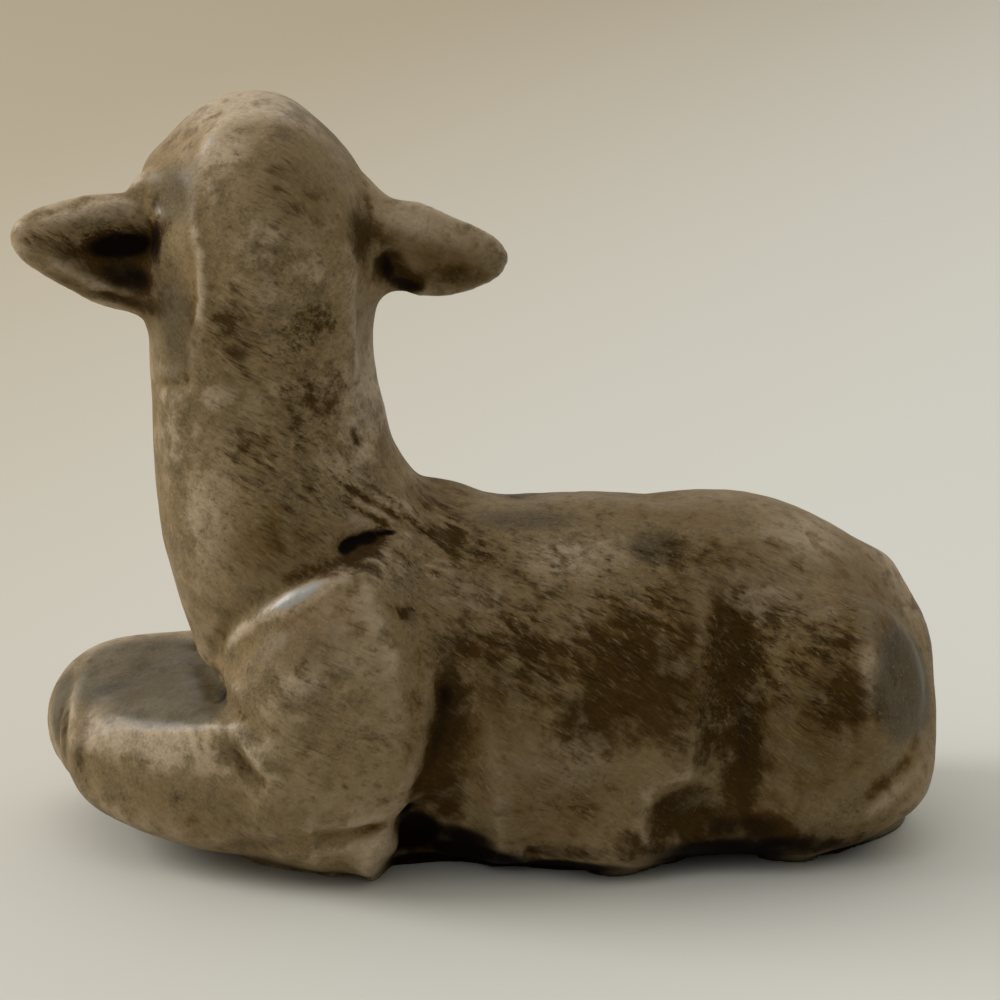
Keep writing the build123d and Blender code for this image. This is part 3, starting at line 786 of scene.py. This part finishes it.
def brushed_strokes():
    """Node group: fine strokes of a dry brush, in two directions that cross."""
    group = shader_group("brushed_strokes", (("Vector", "Vector", None), ("Turn", "Vector", (0, -0.7, 0)),
                                             ("Stretch", "Vector", (420, 2600, 2600))), (("Strokes", "Float"),))
    wiring = Wiring(group)
    given = wiring.add("NodeGroupInput")
    turned = wiring.add("ShaderNodeVectorRotate", {"Vector": given.outputs["Vector"],
                                                   "Rotation": given.outputs["Turn"]},
                        rotation_type="EULER_XYZ").outputs[0]
    stretched = wiring.add("ShaderNodeVectorMath", {0: turned, 1: given.outputs["Stretch"]}, operation="MULTIPLY")
    strokes = wiring.add("ShaderNodeTexNoise", {"Vector": stretched.outputs[0], "Scale": 1.0, "Detail": 2.0,
                                                "Roughness": 0.6, "Distortion": 0.4})
    wiring.links.new(strokes.outputs[0], wiring.add("NodeGroupOutput").inputs["Strokes"])
    return group


def clay_pits():
    """Node group: small pits and grit in the fired surface."""
    group = shader_group("clay_pits", (("Vector", "Vector", None), ("Spacing", "Float", 900.0)),
                         (("Pits", "Float"), ("Grit", "Float")))
    wiring = Wiring(group)
    given = wiring.add("NodeGroupInput")
    cells = wiring.add("ShaderNodeTexVoronoi", {"Vector": given.outputs["Vector"],
                                                "Scale": given.outputs["Spacing"]})
    pits = wiring.add("ShaderNodeMapRange", {"Value": cells.outputs["Distance"], "From Min": 0.10, "From Max": 0.26,
                                             "To Min": 1.0, "To Max": 0.0})
    some = wiring.ramp(wiring.noise(given.outputs["Vector"], 4.0 * MM), 0.56, 0.66)
    grit = wiring.noise(given.outputs["Vector"], 0.32 * MM, 3.0, 0.65)
    end = wiring.add("NodeGroupOutput")
    wiring.links.new(wiring.maths("MULTIPLY", pits.outputs[0], some), end.inputs["Pits"])
    wiring.links.new(grit, end.inputs["Grit"])
    return group


def use_group(wiring, group, inputs):
    node = wiring.add("ShaderNodeGroup", node_tree=group)
    for name, value in inputs.items():
        wiring.feed(node.inputs[name], value)
    return node


def colour(value):
    return (*value, 1.0)


def stained_clay(colours, strokes, pits):
    """The outside: brown stain brushed on, wiped off the ridges and left in the folds, with painted shade in deep
    recesses and along the foot, a painted grey reflection on the flats and painted glints.
    """
    material = bpy.data.materials.new("stained_clay")
    material.use_nodes = True
    material.node_tree.nodes.clear()
    wiring = Wiring(material.node_tree)
    place = wiring.add("ShaderNodeTexCoord").outputs["Object"]
    mask = {name: wiring.add("ShaderNodeAttribute", attribute_name=name).outputs["Fac"] for name in MASKS}

    down = use_group(wiring, strokes, {"Vector": place, "Turn": (0, -0.75, 0.2),
                                       "Stretch": (520, 3900, 3900)}).outputs[0]
    across = use_group(wiring, strokes, {"Vector": place, "Turn": (0.3, -0.45, 0),
                                         "Stretch": (380, 4200, 4200)}).outputs[0]
    pitted = use_group(wiring, pits, {"Vector": place})
    broad_swing = wiring.maths("SUBTRACT", wiring.noise(place, 9 * MM, 3.0, 0.55), 0.5)
    cloud_swing = wiring.maths("SUBTRACT", wiring.noise(place, 2.6 * MM, 4.0, 0.6), 0.5)
    speck_swing = wiring.maths("SUBTRACT", wiring.noise(place, 0.8 * MM, 3.0, 0.7), 0.5)
    grain_swing = wiring.maths("SUBTRACT", pitted.outputs["Grit"], 0.5)
    combed = wiring.maths("ADD", 0.15, wiring.maths("MULTIPLY", mask["fleece"], 0.85))
    locks = use_group(wiring, strokes, {"Vector": place, "Turn": (0.2, -0.6, 0.1),
                                        "Stretch": (330, 1250, 1250)}).outputs[0]
    lock_swing = wiring.maths("MULTIPLY", wiring.maths("SUBTRACT", locks, 0.5), mask["fleece"])
    light_hair = wiring.maths("MULTIPLY", wiring.ramp(down, 0.54, 0.74), combed)
    dark_hair = wiring.maths("MULTIPLY", wiring.ramp(across, 0.50, 0.72), combed)

    # Worn paler clay, with the painted glints' rims.
    worn_and_glints = wiring.blend(((mask["pale"], 0.9), (mask["hollow"], -0.7), (broad_swing, 1.8), (cloud_swing, 1.8)))
    base = wiring.mix(wiring.ramp(worn_and_glints, 0.05, 0.75), colour(colours.clay), colour(colours.pale))
    # Brown wash over the lower body, partly painted shade.
    washed_and_shaded = wiring.blend(((mask["wash"], 0.8), (cloud_swing, 2.2), (broad_swing, 1.6), (grain_swing, 0.4)))
    base = wiring.mix(wiring.maths("MULTIPLY", wiring.ramp(washed_and_shaded, 0.0, 0.75), 0.8), base, colour(colours.wash))

    # Painted grey reflection on the satin flats, with a grey wash.
    greyed = wiring.blend(((mask["grey"], 1.0), (cloud_swing, 0.8)))
    base = wiring.mix(wiring.maths("MULTIPLY", wiring.ramp(greyed, 0.2, 0.8), 0.85), base, colour(colours.grey))

    # Dark stain; its dark patches also carry painted shade along the foot and in the recesses.
    stain = wiring.blend(((mask["dark"], 0.85), (cloud_swing, 2.2), (broad_swing, 0.8), (speck_swing, 0.4),
                          (grain_swing, 0.5), (dark_hair, 0.25), (light_hair, -0.3), (mask["hollow"], 0.5), (lock_swing, 1.8)))
    base = wiring.mix(wiring.maths("MULTIPLY", wiring.ramp(stain, 0.02, 0.95), 0.94), base, colour(colours.dark))
    brightness = wiring.blend(((light_hair, 0.25), (dark_hair, -0.35), (cloud_swing, 1.5), (speck_swing, 0.5),
                               (grain_swing, 1.0), (broad_swing, 1.1), (lock_swing, -0.7)))
    base = wiring.tone(base, wiring.maths("ADD", 1.04, brightness))
    wiped = wiring.maths("SUBTRACT", 0.38, wiring.maths("MULTIPLY", mask["dark"], 0.2))
    base = wiring.mix(wiring.maths("MULTIPLY", light_hair, wiped), base, colour(colours.hair))

    # Painted glint: silver where the pale patches run above one, on the shoulder's rim, the dome and the cheek.
    base = wiring.mix(wiring.ramp(mask["pale"], 0.97, 1.2), base, colour(colours.painted_glint))

    # Near-black stain pooled in the folds, with painted shade in deep recesses and a painted contact shadow along
    # the foot.
    pooled_and_shaded = wiring.blend(((mask["pool"], 1.0), (cloud_swing, 0.3)))
    base = wiring.mix(wiring.ramp(pooled_and_shaded, 0.25, 0.85), base, colour(colours.pool))
    base = wiring.mix(wiring.maths("MULTIPLY", pitted.outputs["Pits"], 0.35), base, colour(colours.dark))

    rough = wiring.blend(((cloud_swing, 0.3), (mask["fleece"], 0.12), (mask["grey"], -0.08)))
    rough = wiring.maths("ADD", 0.5, rough, clamp=True)
    height = wiring.blend(((light_hair, 0.5), (dark_hair, -0.5), (pitted.outputs["Grit"], 0.2),
                           (pitted.outputs["Pits"], -0.6), (speck_swing, 0.4)))
    bump = wiring.add("ShaderNodeBump", {"Strength": 0.6, "Distance": 0.16 * MM, "Height": height})
    shader = wiring.add("ShaderNodeBsdfPrincipled", {"Base Color": base, "Roughness": rough,
                                                     "Normal": bump.outputs[0], "Coat Roughness": 0.3,
                                                     "Specular IOR Level": 0.03})
    sheen = wiring.blend(((mask["grey"], 0.05), (mask["pale"], 0.3), (mask["hollow"], -0.4), (mask["dark"], -0.3),
                          (wiring.ramp(mask["pale"], 0.94, 1.0), 0.6)))
    wiring.feed(shader.inputs["Coat Weight"], wiring.maths("ADD", sheen, 0.08, clamp=True))
    wiring.links.new(shader.outputs[0], wiring.add("ShaderNodeOutputMaterial").inputs[0])
    return material


def bare_clay(colours, pits):
    """The inside and the seats between pieces: unstained, rough."""
    material = bpy.data.materials.new("bare_clay")
    material.use_nodes = True
    material.node_tree.nodes.clear()
    wiring = Wiring(material.node_tree)
    place = wiring.add("ShaderNodeTexCoord").outputs["Object"]
    pitted = use_group(wiring, pits, {"Vector": place, "Spacing": 700.0})
    tone = wiring.noise(place, 5 * MM, 4.0, 0.6)
    darker = tuple(0.7 * part for part in colours.bare)
    base = wiring.mix(wiring.ramp(tone, 0.35, 0.7), colour(colours.bare), colour(darker))
    base = wiring.mix(wiring.maths("MULTIPLY", pitted.outputs["Pits"], 0.5), base, colour(colours.dark))
    height = wiring.maths("SUBTRACT", wiring.maths("MULTIPLY", pitted.outputs["Grit"], 0.5), pitted.outputs["Pits"])
    bump = wiring.add("ShaderNodeBump", {"Strength": 0.5, "Distance": 0.15 * MM, "Height": height})
    rough = wiring.maths("ADD", 0.72, wiring.maths("MULTIPLY", tone, 0.2))
    shader = wiring.add("ShaderNodeBsdfPrincipled", {"Base Color": base, "Roughness": rough,
                                                     "Normal": bump.outputs[0]})
    wiring.links.new(shader.outputs[0], wiring.add("ShaderNodeOutputMaterial").inputs[0])
    return material


def forearm_block(shape):
    """Fill the cleft between the two forearms, which lie against each other under one flat top."""
    chest, height = FOREARM_REACH * MM, FOREARM_TOP * MM
    points = [vertex.co for name in ("left_foreleg", "right_foreleg")
              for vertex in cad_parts[name].data.vertices
              if vertex.co.x < chest and vertex.co.z < height]
    corners = [shape.verts.new(point) for point in points]
    found = bmesh.ops.convex_hull(shape, input=corners)
    spare = {part for part in found["geom_interior"] + found["geom_unused"] if isinstance(part, bmesh.types.BMVert)}
    bmesh.ops.delete(shape, geom=list(spare), context="VERTS")


def joined_nodes(voxel):
    """The ten CAD pieces as one closed skin."""
    whole = bpy.data.meshes.new("joined_nodes")
    shape = bmesh.new()
    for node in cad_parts.values():
        part = merged_copy(node)
        shape.from_mesh(part)
        bpy.data.meshes.remove(part)
    forearm_block(shape)
    shape.to_mesh(whole)
    shape.free()
    return remeshed(whole, voxel)


def model_clay(context):
    """Join the pieces, smooth the joints, press in folds and facets, and lay the masks of stain and of painted
    shade, reflection and glints.
    """
    sizes, view = context.scene.lamb_sizes, Viewpoint(context.scene.lamb_stage)
    voxel = sizes.voxel * 1.0
    mesh = joined_nodes(voxel)
    clay = Clay(mesh)
    under = (clay.places[:, 2] < 0.4 * MM)
    clay.places = clay.smoothed(clay.places, 3, 0.5)

    apart = second_distance(clay.places, node_trees(), sizes.seam)
    blend = np.clip(1 - apart / sizes.seam, 0, 1)[:, None]
    blend[under] = 0
    blend *= np.clip((clay.places[:, :1] - FOREARM_REACH * MM) / (8 * MM) + 1, 0.3, 1)
    steps = int(150 * (0.42 * MM / voxel) ** 2)
    blend = clay.smoothed(blend, 6, 0.5)
    for _ in range(steps):
        clay.places += 0.5 * blend * (clay.neighbour_mean(clay.places) - clay.places)
    clay.refresh()

    tree = clay.tree()
    for press in PRESSES:
        centre, normal = photo_hit(tree, view, press.centre, press.name)
        size = view.pixel_size(centre)
        radii = [radius * size for radius in press.radii]
        axes = view.axes(press.turn)
        press_oval(clay, centre, normal, axes, radii, press.sink * MM, press.flat)
        if press.mirrored:
            mirror = np.array((1, -1, 1))
            far = other_flank(tree, centre, press.name)
            press_oval(clay, far, normal * mirror, [axis * mirror for axis in axes], radii,
                       press.sink * MM, press.flat)
    clay.refresh()
    for stroke in STROKES:
        for points in path_points(tree, view, stroke):
            press_line(clay, tree, points, stroke.width * MM, stroke.depth * MM)
    for cut in UNDERCUTS:
        centre, _ = photo_hit(tree, view, cut.centre, cut.name)
        reach = cut.reach * view.pixel_size(centre)
        for side in (-1, 1):
            foot = np.array((centre[0], -side * centre[1], 0)) if side > 0 else np.array((centre[0], centre[1], 0))
            cut_under(clay, foot, np.array((0.0, side, 0)), reach, cut.height * MM, cut.depth * MM)
    deep_stain = model_face(clay, tree)
    clay.places = clay.smoothed(clay.places, 3, 0.4)
    clay.places[under, 2] = np.maximum(clay.places[under, 2] * 0.2, 0)
    clay.places[:, 2] = np.maximum(clay.places[:, 2], 0)
    clay.refresh()
    clay.write(mesh)

    tree = clay.tree()
    masks = {name: np.zeros(clay.count) for name in MASKS}
    for name, patches, square in (("dark", DARK_PATCHES, 1.5), ("wash", WASH_AND_SHADE_PATCHES, 1), ("grey", GREY_PATCHES, 2),
                                  ("pale", PALE_PATCHES, 1), ("fleece", FLEECE_PATCHES, 1)):
        paint(clay, tree, view, patches, masks[name], square, flats=name == "grey")
    # The near-black patches, partly painted shade, and a painted contact shadow that darkens the lowest millimetre
    # of the clay behind the forearms join the eyes' and nostrils' stain.
    paint(clay, tree, view, POOL_AND_SHADE_PATCHES, deep_stain, 2)
    foot = np.clip(0.85 - clay.places[:, 2] / (1.1 * MM), 0, 1) * np.clip(clay.places[:, 0] / (6 * MM) + 2.6, 0, 1)
    np.maximum(deep_stain, foot, out=deep_stain)
    masks["fleece"] = np.clip(masks["fleece"] + 0.15, 0, 1)
    for name in ("dark", "wash", "grey", "pale", "fleece"):
        set_mask(mesh, name, masks[name])
    set_mask(mesh, "free", np.clip(clay.places[:, 2] / (1.5 * MM), 0, 1))
    set_mask(mesh, "deep_stain", deep_stain)
    return mesh


def lay_masks(mesh):
    """Stain gathers where the finished surface is hollow: close folds first, then broad valleys. The near-black
    broad mask also takes the painted shade of the deep recesses and the painted contact shadow along the foot.
    """
    clay = Clay(mesh)
    edge = np.linalg.norm(clay.places[clay.starts] - clay.places[clay.ends], axis=1).mean()

    def hollowness(reach):
        passes = max(1, int(2 * (reach / edge) ** 2))
        inward = clay.smoothed(clay.places, passes, 0.5) - clay.places
        return (inward * clay.normals).sum(1)

    close, broad = hollowness(1.0 * MM), hollowness(2.6 * MM)
    set_mask(mesh, "hollow", np.clip(close / (0.22 * MM), -1, 1))
    pool = np.clip(broad / (0.75 * MM) - 0.35, 0, 1)
    set_mask(mesh, "pool", np.maximum(pool, get_mask(mesh, "deep_stain")))


def boolean(target, other, operation):
    modifier = target.modifiers.new("Cut", "BOOLEAN")
    modifier.solver = "MANIFOLD"
    modifier.operation = operation
    modifier.object = other
    result = evaluated_mesh(target)
    target.modifiers.remove(modifier)
    return result


def lumps(mesh):
    """For each vertex, the lowest vertex of the connected lump that it belongs to."""
    ends = np.empty(len(mesh.edges) * 2, dtype=np.int64)
    mesh.edges.foreach_get("vertices", ends)
    first, second = ends.reshape(-1, 2).T
    label = np.arange(len(mesh.vertices))
    while True:
        before = label.copy()
        lowest = np.minimum(label[first], label[second])
        np.minimum.at(label, first, lowest)
        np.minimum.at(label, second, lowest)
        label = label[label]
        if np.array_equal(before, label):
            return label


def split_crumbs(mesh):
    """A mesh's largest lump, and the crumbs that lie apart from it, as two meshes."""
    label = lumps(mesh)
    main = np.bincount(label).argmax()
    parts = []
    for unwanted in (label != main, label == main):
        shape = bmesh.new()
        shape.from_mesh(mesh)
        shape.verts.ensure_lookup_table()
        bmesh.ops.delete(shape, geom=[shape.verts[index] for index in np.flatnonzero(unwanted)], context="VERTS")
        parts.append(bpy.data.meshes.new(mesh.name))
        shape.to_mesh(parts[-1])
        shape.free()
    return parts


def pressed_on(mesh, crumbs):
    """A cut piece with the crumbs of its cut pressed back onto it, as one lump."""
    if crumbs.polygons:
        piece, scraps = work_object("piece", mesh), work_object("scraps", crumbs)
        mesh = boolean(piece, scraps, "UNION")
        bpy.data.objects.remove(piece)
        bpy.data.objects.remove(scraps)
    return split_crumbs(mesh)[0]


def cutter(name, sizes):
    """A node's shape, swollen where it is free and left in place on its seats against other nodes."""
    trees = node_trees()
    mesh = remeshed(merged_copy(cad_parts[name]), 0.6 * MM)
    clay = Clay(mesh)
    probes = clay.places + 0.45 * MM * clay.normals
    seated = np.zeros(clay.count, dtype=bool)
    for other, (tree, low, high) in trees.items():
        if other == name:
            continue
        for index in np.flatnonzero(np.all((probes > low) & (probes < high), axis=1)):
            place, normal, _, _ = tree.find_nearest(Vector(probes[index]))
            if (Vector(probes[index]) - place).dot(normal) < 0:
                seated[index] = True
    push = np.where(seated, 0.0, sizes.margin)
    clay.places += push[:, None] * clay.normals
    clay.write(mesh)
    return remeshed(mesh, 0.7 * MM)


@cache
def whole_skin():
    """The uncut skin, its search tree, and its masks and normals side by side."""
    mesh = bpy.data.meshes[SKIN]
    skin = Clay(mesh)
    values = np.column_stack([skin.normals] + [get_mask(mesh, name) for name in MASKS])
    return skin, skin.tree(), values


def place_keys(places):
    """One whole number for each place, the same for the same place."""
    steps = np.round(places / (0.0001 * MM)).astype(np.int64)
    return steps[:, 0] * 73856093 + steps[:, 1] * 19349669 + steps[:, 2] * 83492791


def skin_values(clay):
    """The whole skin's normals and masks at a piece's vertices, and which of them lie on the skin."""
    skin, tree, values = whole_skin()
    keys = place_keys(skin.places)
    order = np.argsort(keys)
    wanted = place_keys(clay.places)
    match = order[np.minimum(np.searchsorted(keys[order], wanted), skin.count - 1)]
    on_skin = keys[match] == wanted
    result = np.where(on_skin[:, None], values[match], 0.0)
    for index in np.flatnonzero(~on_skin):
        place = Vector(clay.places[index])
        _, _, face, gap = tree.find_nearest(place)
        if gap < 0.01 * MM:
            corners = skin.triangles[face]
            share = 1 / (np.linalg.norm(skin.places[corners] - clay.places[index], axis=1) + 1e-9)
            result[index] = share @ values[corners] / share.sum()
            on_skin[index] = True
    return result, on_skin


def dress_piece(mesh, material, inside):
    """Give a cut piece the whole skin's normals, masks and finishes, so that no joint shows."""
    clay = Clay(mesh)
    values, on_skin = skin_values(clay)
    for column, name in enumerate(MASKS, 3):
        set_mask(mesh, name, values[:, column])
    mesh.materials.clear()
    mesh.materials.append(material)
    mesh.materials.append(inside)
    count = len(mesh.polygons)
    corners = np.empty(len(mesh.loops), dtype=np.int64)
    mesh.loops.foreach_get("vertex_index", corners)
    totals = np.empty(count, dtype=np.int64)
    mesh.polygons.foreach_get("loop_total", totals)
    faces = np.empty(count * 3)
    mesh.polygons.foreach_get("normal", faces)
    faces = np.repeat(faces.reshape(-1, 3), totals, axis=0)
    owner = np.repeat(np.arange(count), totals)
    outside = on_skin[corners] & ((values[corners, :3] * faces).sum(1) > 0)
    outer = np.bincount(owner, outside, count) == totals
    mesh.polygons.foreach_set("material_index", np.where(outer, 0, 1))
    mesh.polygons.foreach_set("use_smooth", np.ones(count, dtype=bool))
    normals = np.where(outer[owner][:, None], values[corners, :3], faces)
    mesh.normals_split_custom_set(normals.tolist())
    mesh.update()


def finish_piece(name, mesh):
    dress_piece(mesh, bpy.data.materials["stained_clay"], bpy.data.materials["bare_clay"])
    piece = work_object("clay_" + name, mesh)
    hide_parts(name)
    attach(piece, BODY)
    return piece


def cut_piece(context, name):
    """Cut one piece out of the block, and leave the rest of the block."""
    block = bpy.data.objects[BLOCK]
    tool = work_object("cutter", cutter(name, context.scene.lamb_sizes))
    piece = boolean(block, tool, "INTERSECT")
    rest, crumbs = split_crumbs(boolean(block, tool, "DIFFERENCE"))
    bpy.data.objects.remove(tool)
    if not piece.polygons or not rest.polygons:
        raise RuntimeError(f"the cut of {name} left nothing")
    block.data = rest
    finish_piece(name, pressed_on(piece, crumbs))


class LAMB_OT_block(Operator):
    """Join the CAD pieces into one block and model the clay"""

    bl_idname = "lamb.block"
    bl_label = "Model the clay"

    def execute(self, context):
        sizes, colours = context.scene.lamb_sizes, context.scene.lamb_colours
        pits = clay_pits()
        material = stained_clay(colours, brushed_strokes(), pits)
        bare_clay(colours, pits)
        block = work_object(BLOCK, model_clay(context))
        relief = block.modifiers.new("Relief", "NODES")
        relief.node_group = fleece_relief(sizes, material)
        mesh = evaluated_mesh(block)
        block.modifiers.remove(relief)
        block.data = mesh
        lay_masks(mesh)
        mesh.copy().name = SKIN
        return {"FINISHED"}


class LAMB_OT_ears(Operator):
    """Cut the two ears out of the block"""

    bl_idname = "lamb.ears"
    bl_label = "Ears"

    def execute(self, context):
        cut_piece(context, "left_ear")
        cut_piece(context, "right_ear")
        return {"FINISHED"}


class LAMB_OT_head(Operator):
    """Cut the head out of the block"""

    bl_idname = "lamb.head"
    bl_label = "Head"

    def execute(self, context):
        cut_piece(context, "head")
        return {"FINISHED"}


class LAMB_OT_neck(Operator):
    """Cut the neck out of the block"""

    bl_idname = "lamb.neck"
    bl_label = "Neck"

    def execute(self, context):
        cut_piece(context, "neck")
        return {"FINISHED"}


class LAMB_OT_legs(Operator):
    """Cut the four legs out of the block"""

    bl_idname = "lamb.legs"
    bl_label = "Legs"

    def execute(self, context):
        for name in ("left_foreleg", "right_foreleg", "left_hind_leg", "right_hind_leg"):
            cut_piece(context, name)
        return {"FINISHED"}


class LAMB_OT_tail(Operator):
    """Cut the tail out of the block"""

    bl_idname = "lamb.tail"
    bl_label = "Tail"

    def execute(self, context):
        cut_piece(context, "tail")
        return {"FINISHED"}


class LAMB_OT_body(Operator):
    """Finish what is left of the block as the hollow body"""

    bl_idname = "lamb.body"
    bl_label = "Body"

    def execute(self, context):
        block = bpy.data.objects[BLOCK]
        mesh = block.data
        bpy.data.objects.remove(block)
        finish_piece("body", mesh)
        bpy.data.meshes.remove(bpy.data.meshes[SKIN])
        whole_skin.cache_clear()
        return {"FINISHED"}


def area_lamp(name, place, target, size, power, tint):
    lamp = bpy.data.lights.new(name, "AREA")
    lamp.shape = "DISK"
    lamp.size = size
    lamp.energy = power
    lamp.color = tint
    obj = work_object(name, lamp)
    obj.location = place
    obj.rotation_euler = (Vector(target) - Vector(place)).to_track_quat("-Z", "Y").to_euler()
    return obj


class LAMB_OT_stage(Operator):
    """Lay the floor and set the lamps and the camera"""

    bl_idname = "lamb.stage"
    bl_label = "Stage"

    def execute(self, context):
        scene, stage = context.scene, context.scene.lamb_stage
        shape = bmesh.new()
        bmesh.ops.create_circle(shape, cap_ends=True, radius=4.0, segments=96)
        mesh = bpy.data.meshes.new("floor")
        shape.to_mesh(mesh)
        shape.free()
        floor = work_object("floor", mesh)
        material = bpy.data.materials.new("pale_floor")
        material.use_nodes = True
        material.node_tree.nodes.clear()
        wiring = Wiring(material.node_tree)
        place = wiring.add("ShaderNodeTexCoord").outputs["Object"]
        parts = wiring.add("ShaderNodeSeparateXYZ", {0: place})
        slant = wiring.maths("SUBTRACT", parts.outputs["Y"], wiring.maths("MULTIPLY", parts.outputs["X"], 1.8))
        far = wiring.ramp(slant, -0.15, 0.60)
        base = wiring.mix(far, colour(stage.floor), colour(stage.far_floor))
        shader = wiring.add("ShaderNodeBsdfPrincipled", {"Base Color": base, "Roughness": 0.8,
                                                         "Specular IOR Level": 0.2})
        wiring.links.new(shader.outputs[0], wiring.add("ShaderNodeOutputMaterial").inputs[0])
        mesh.materials.append(material)

        light = Vector(LIGHT_FROM).normalized()
        area_lamp("window", light * LAMP_DISTANCE, (0, 0, 0.03), 0.55, stage.key_power, (1.0, 0.99, 0.97))
        world = bpy.data.worlds.new("room")
        world.use_nodes = True
        room = Wiring(world.node_tree)
        facing = room.add("ShaderNodeVectorMath", {0: room.add("ShaderNodeTexCoord").outputs["Generated"],
                                                     1: Vector(ROOM_TOP).normalized()},
                          operation="DOT_PRODUCT").outputs["Value"]
        strength = room.add("ShaderNodeMapRange", {"Value": facing, "From Min": -0.25, "From Max": 0.95,
                                                   "To Min": stage.shade, "To Max": stage.fill},
                            interpolation_type="SMOOTHSTEP").outputs[0]
        background = world.node_tree.nodes["Background"]
        background.inputs["Color"].default_value = (1.0, 0.97, 0.92, 1)
        room.feed(background.inputs["Strength"], strength)
        scene.world = world

        view = Viewpoint(stage)
        lens = bpy.data.cameras.new("camera")
        lens.sensor_width = SENSOR_WIDTH
        lens.lens = stage.focal_pixels * SENSOR_WIDTH / PHOTO_SIZE
        lens.clip_start = 0.01
        camera = work_object("camera", lens)
        turn = Matrix(np.stack((view.right, view.up, view.back), axis=1).tolist())
        camera.matrix_world = Matrix.Translation(Vector(view.place)) @ turn.to_4x4()
        scene.camera = camera
        scene.view_settings.view_transform = "Standard"
        return {"FINISHED"}


STEPS = (LAMB_OT_block, LAMB_OT_ears, LAMB_OT_head, LAMB_OT_neck, LAMB_OT_legs, LAMB_OT_tail, LAMB_OT_body,
         LAMB_OT_stage)


class LAMB_PT_panel(Panel):
    """Lists the steps of making the lamb"""

    bl_idname = "LAMB_PT_panel"
    bl_label = "Clay lamb"
    bl_space_type = "VIEW_3D"
    bl_region_type = "UI"
    bl_category = "Clay lamb"

    def draw(self, context):
        for group in (context.scene.lamb_sizes, context.scene.lamb_colours, context.scene.lamb_stage):
            box = self.layout.box()
            for name in group.bl_rna.properties.keys():
                if name not in ("rna_type", "name"):
                    box.prop(group, name)
        for step in STEPS:
            self.layout.operator(step.bl_idname)


CLASSES = (LambSizes, LambColours, LambStage, *STEPS, LAMB_PT_panel)


def register():
    for cls in CLASSES:
        bpy.utils.register_class(cls)
    bpy.types.Scene.lamb_sizes = PointerProperty(type=LambSizes)
    bpy.types.Scene.lamb_colours = PointerProperty(type=LambColours)
    bpy.types.Scene.lamb_stage = PointerProperty(type=LambStage)


def unregister():
    del bpy.types.Scene.lamb_stage
    del bpy.types.Scene.lamb_colours
    del bpy.types.Scene.lamb_sizes
    for cls in reversed(CLASSES):
        bpy.utils.unregister_class(cls)


def main():
    register()
    bpy.ops.lamb.block()
    bpy.ops.lamb.ears()
    bpy.ops.lamb.head()
    bpy.ops.lamb.neck()
    bpy.ops.lamb.legs()
    bpy.ops.lamb.tail()
    bpy.ops.lamb.body()
    bpy.ops.lamb.stage()
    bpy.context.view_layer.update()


if __name__ == "__main__":
    main()
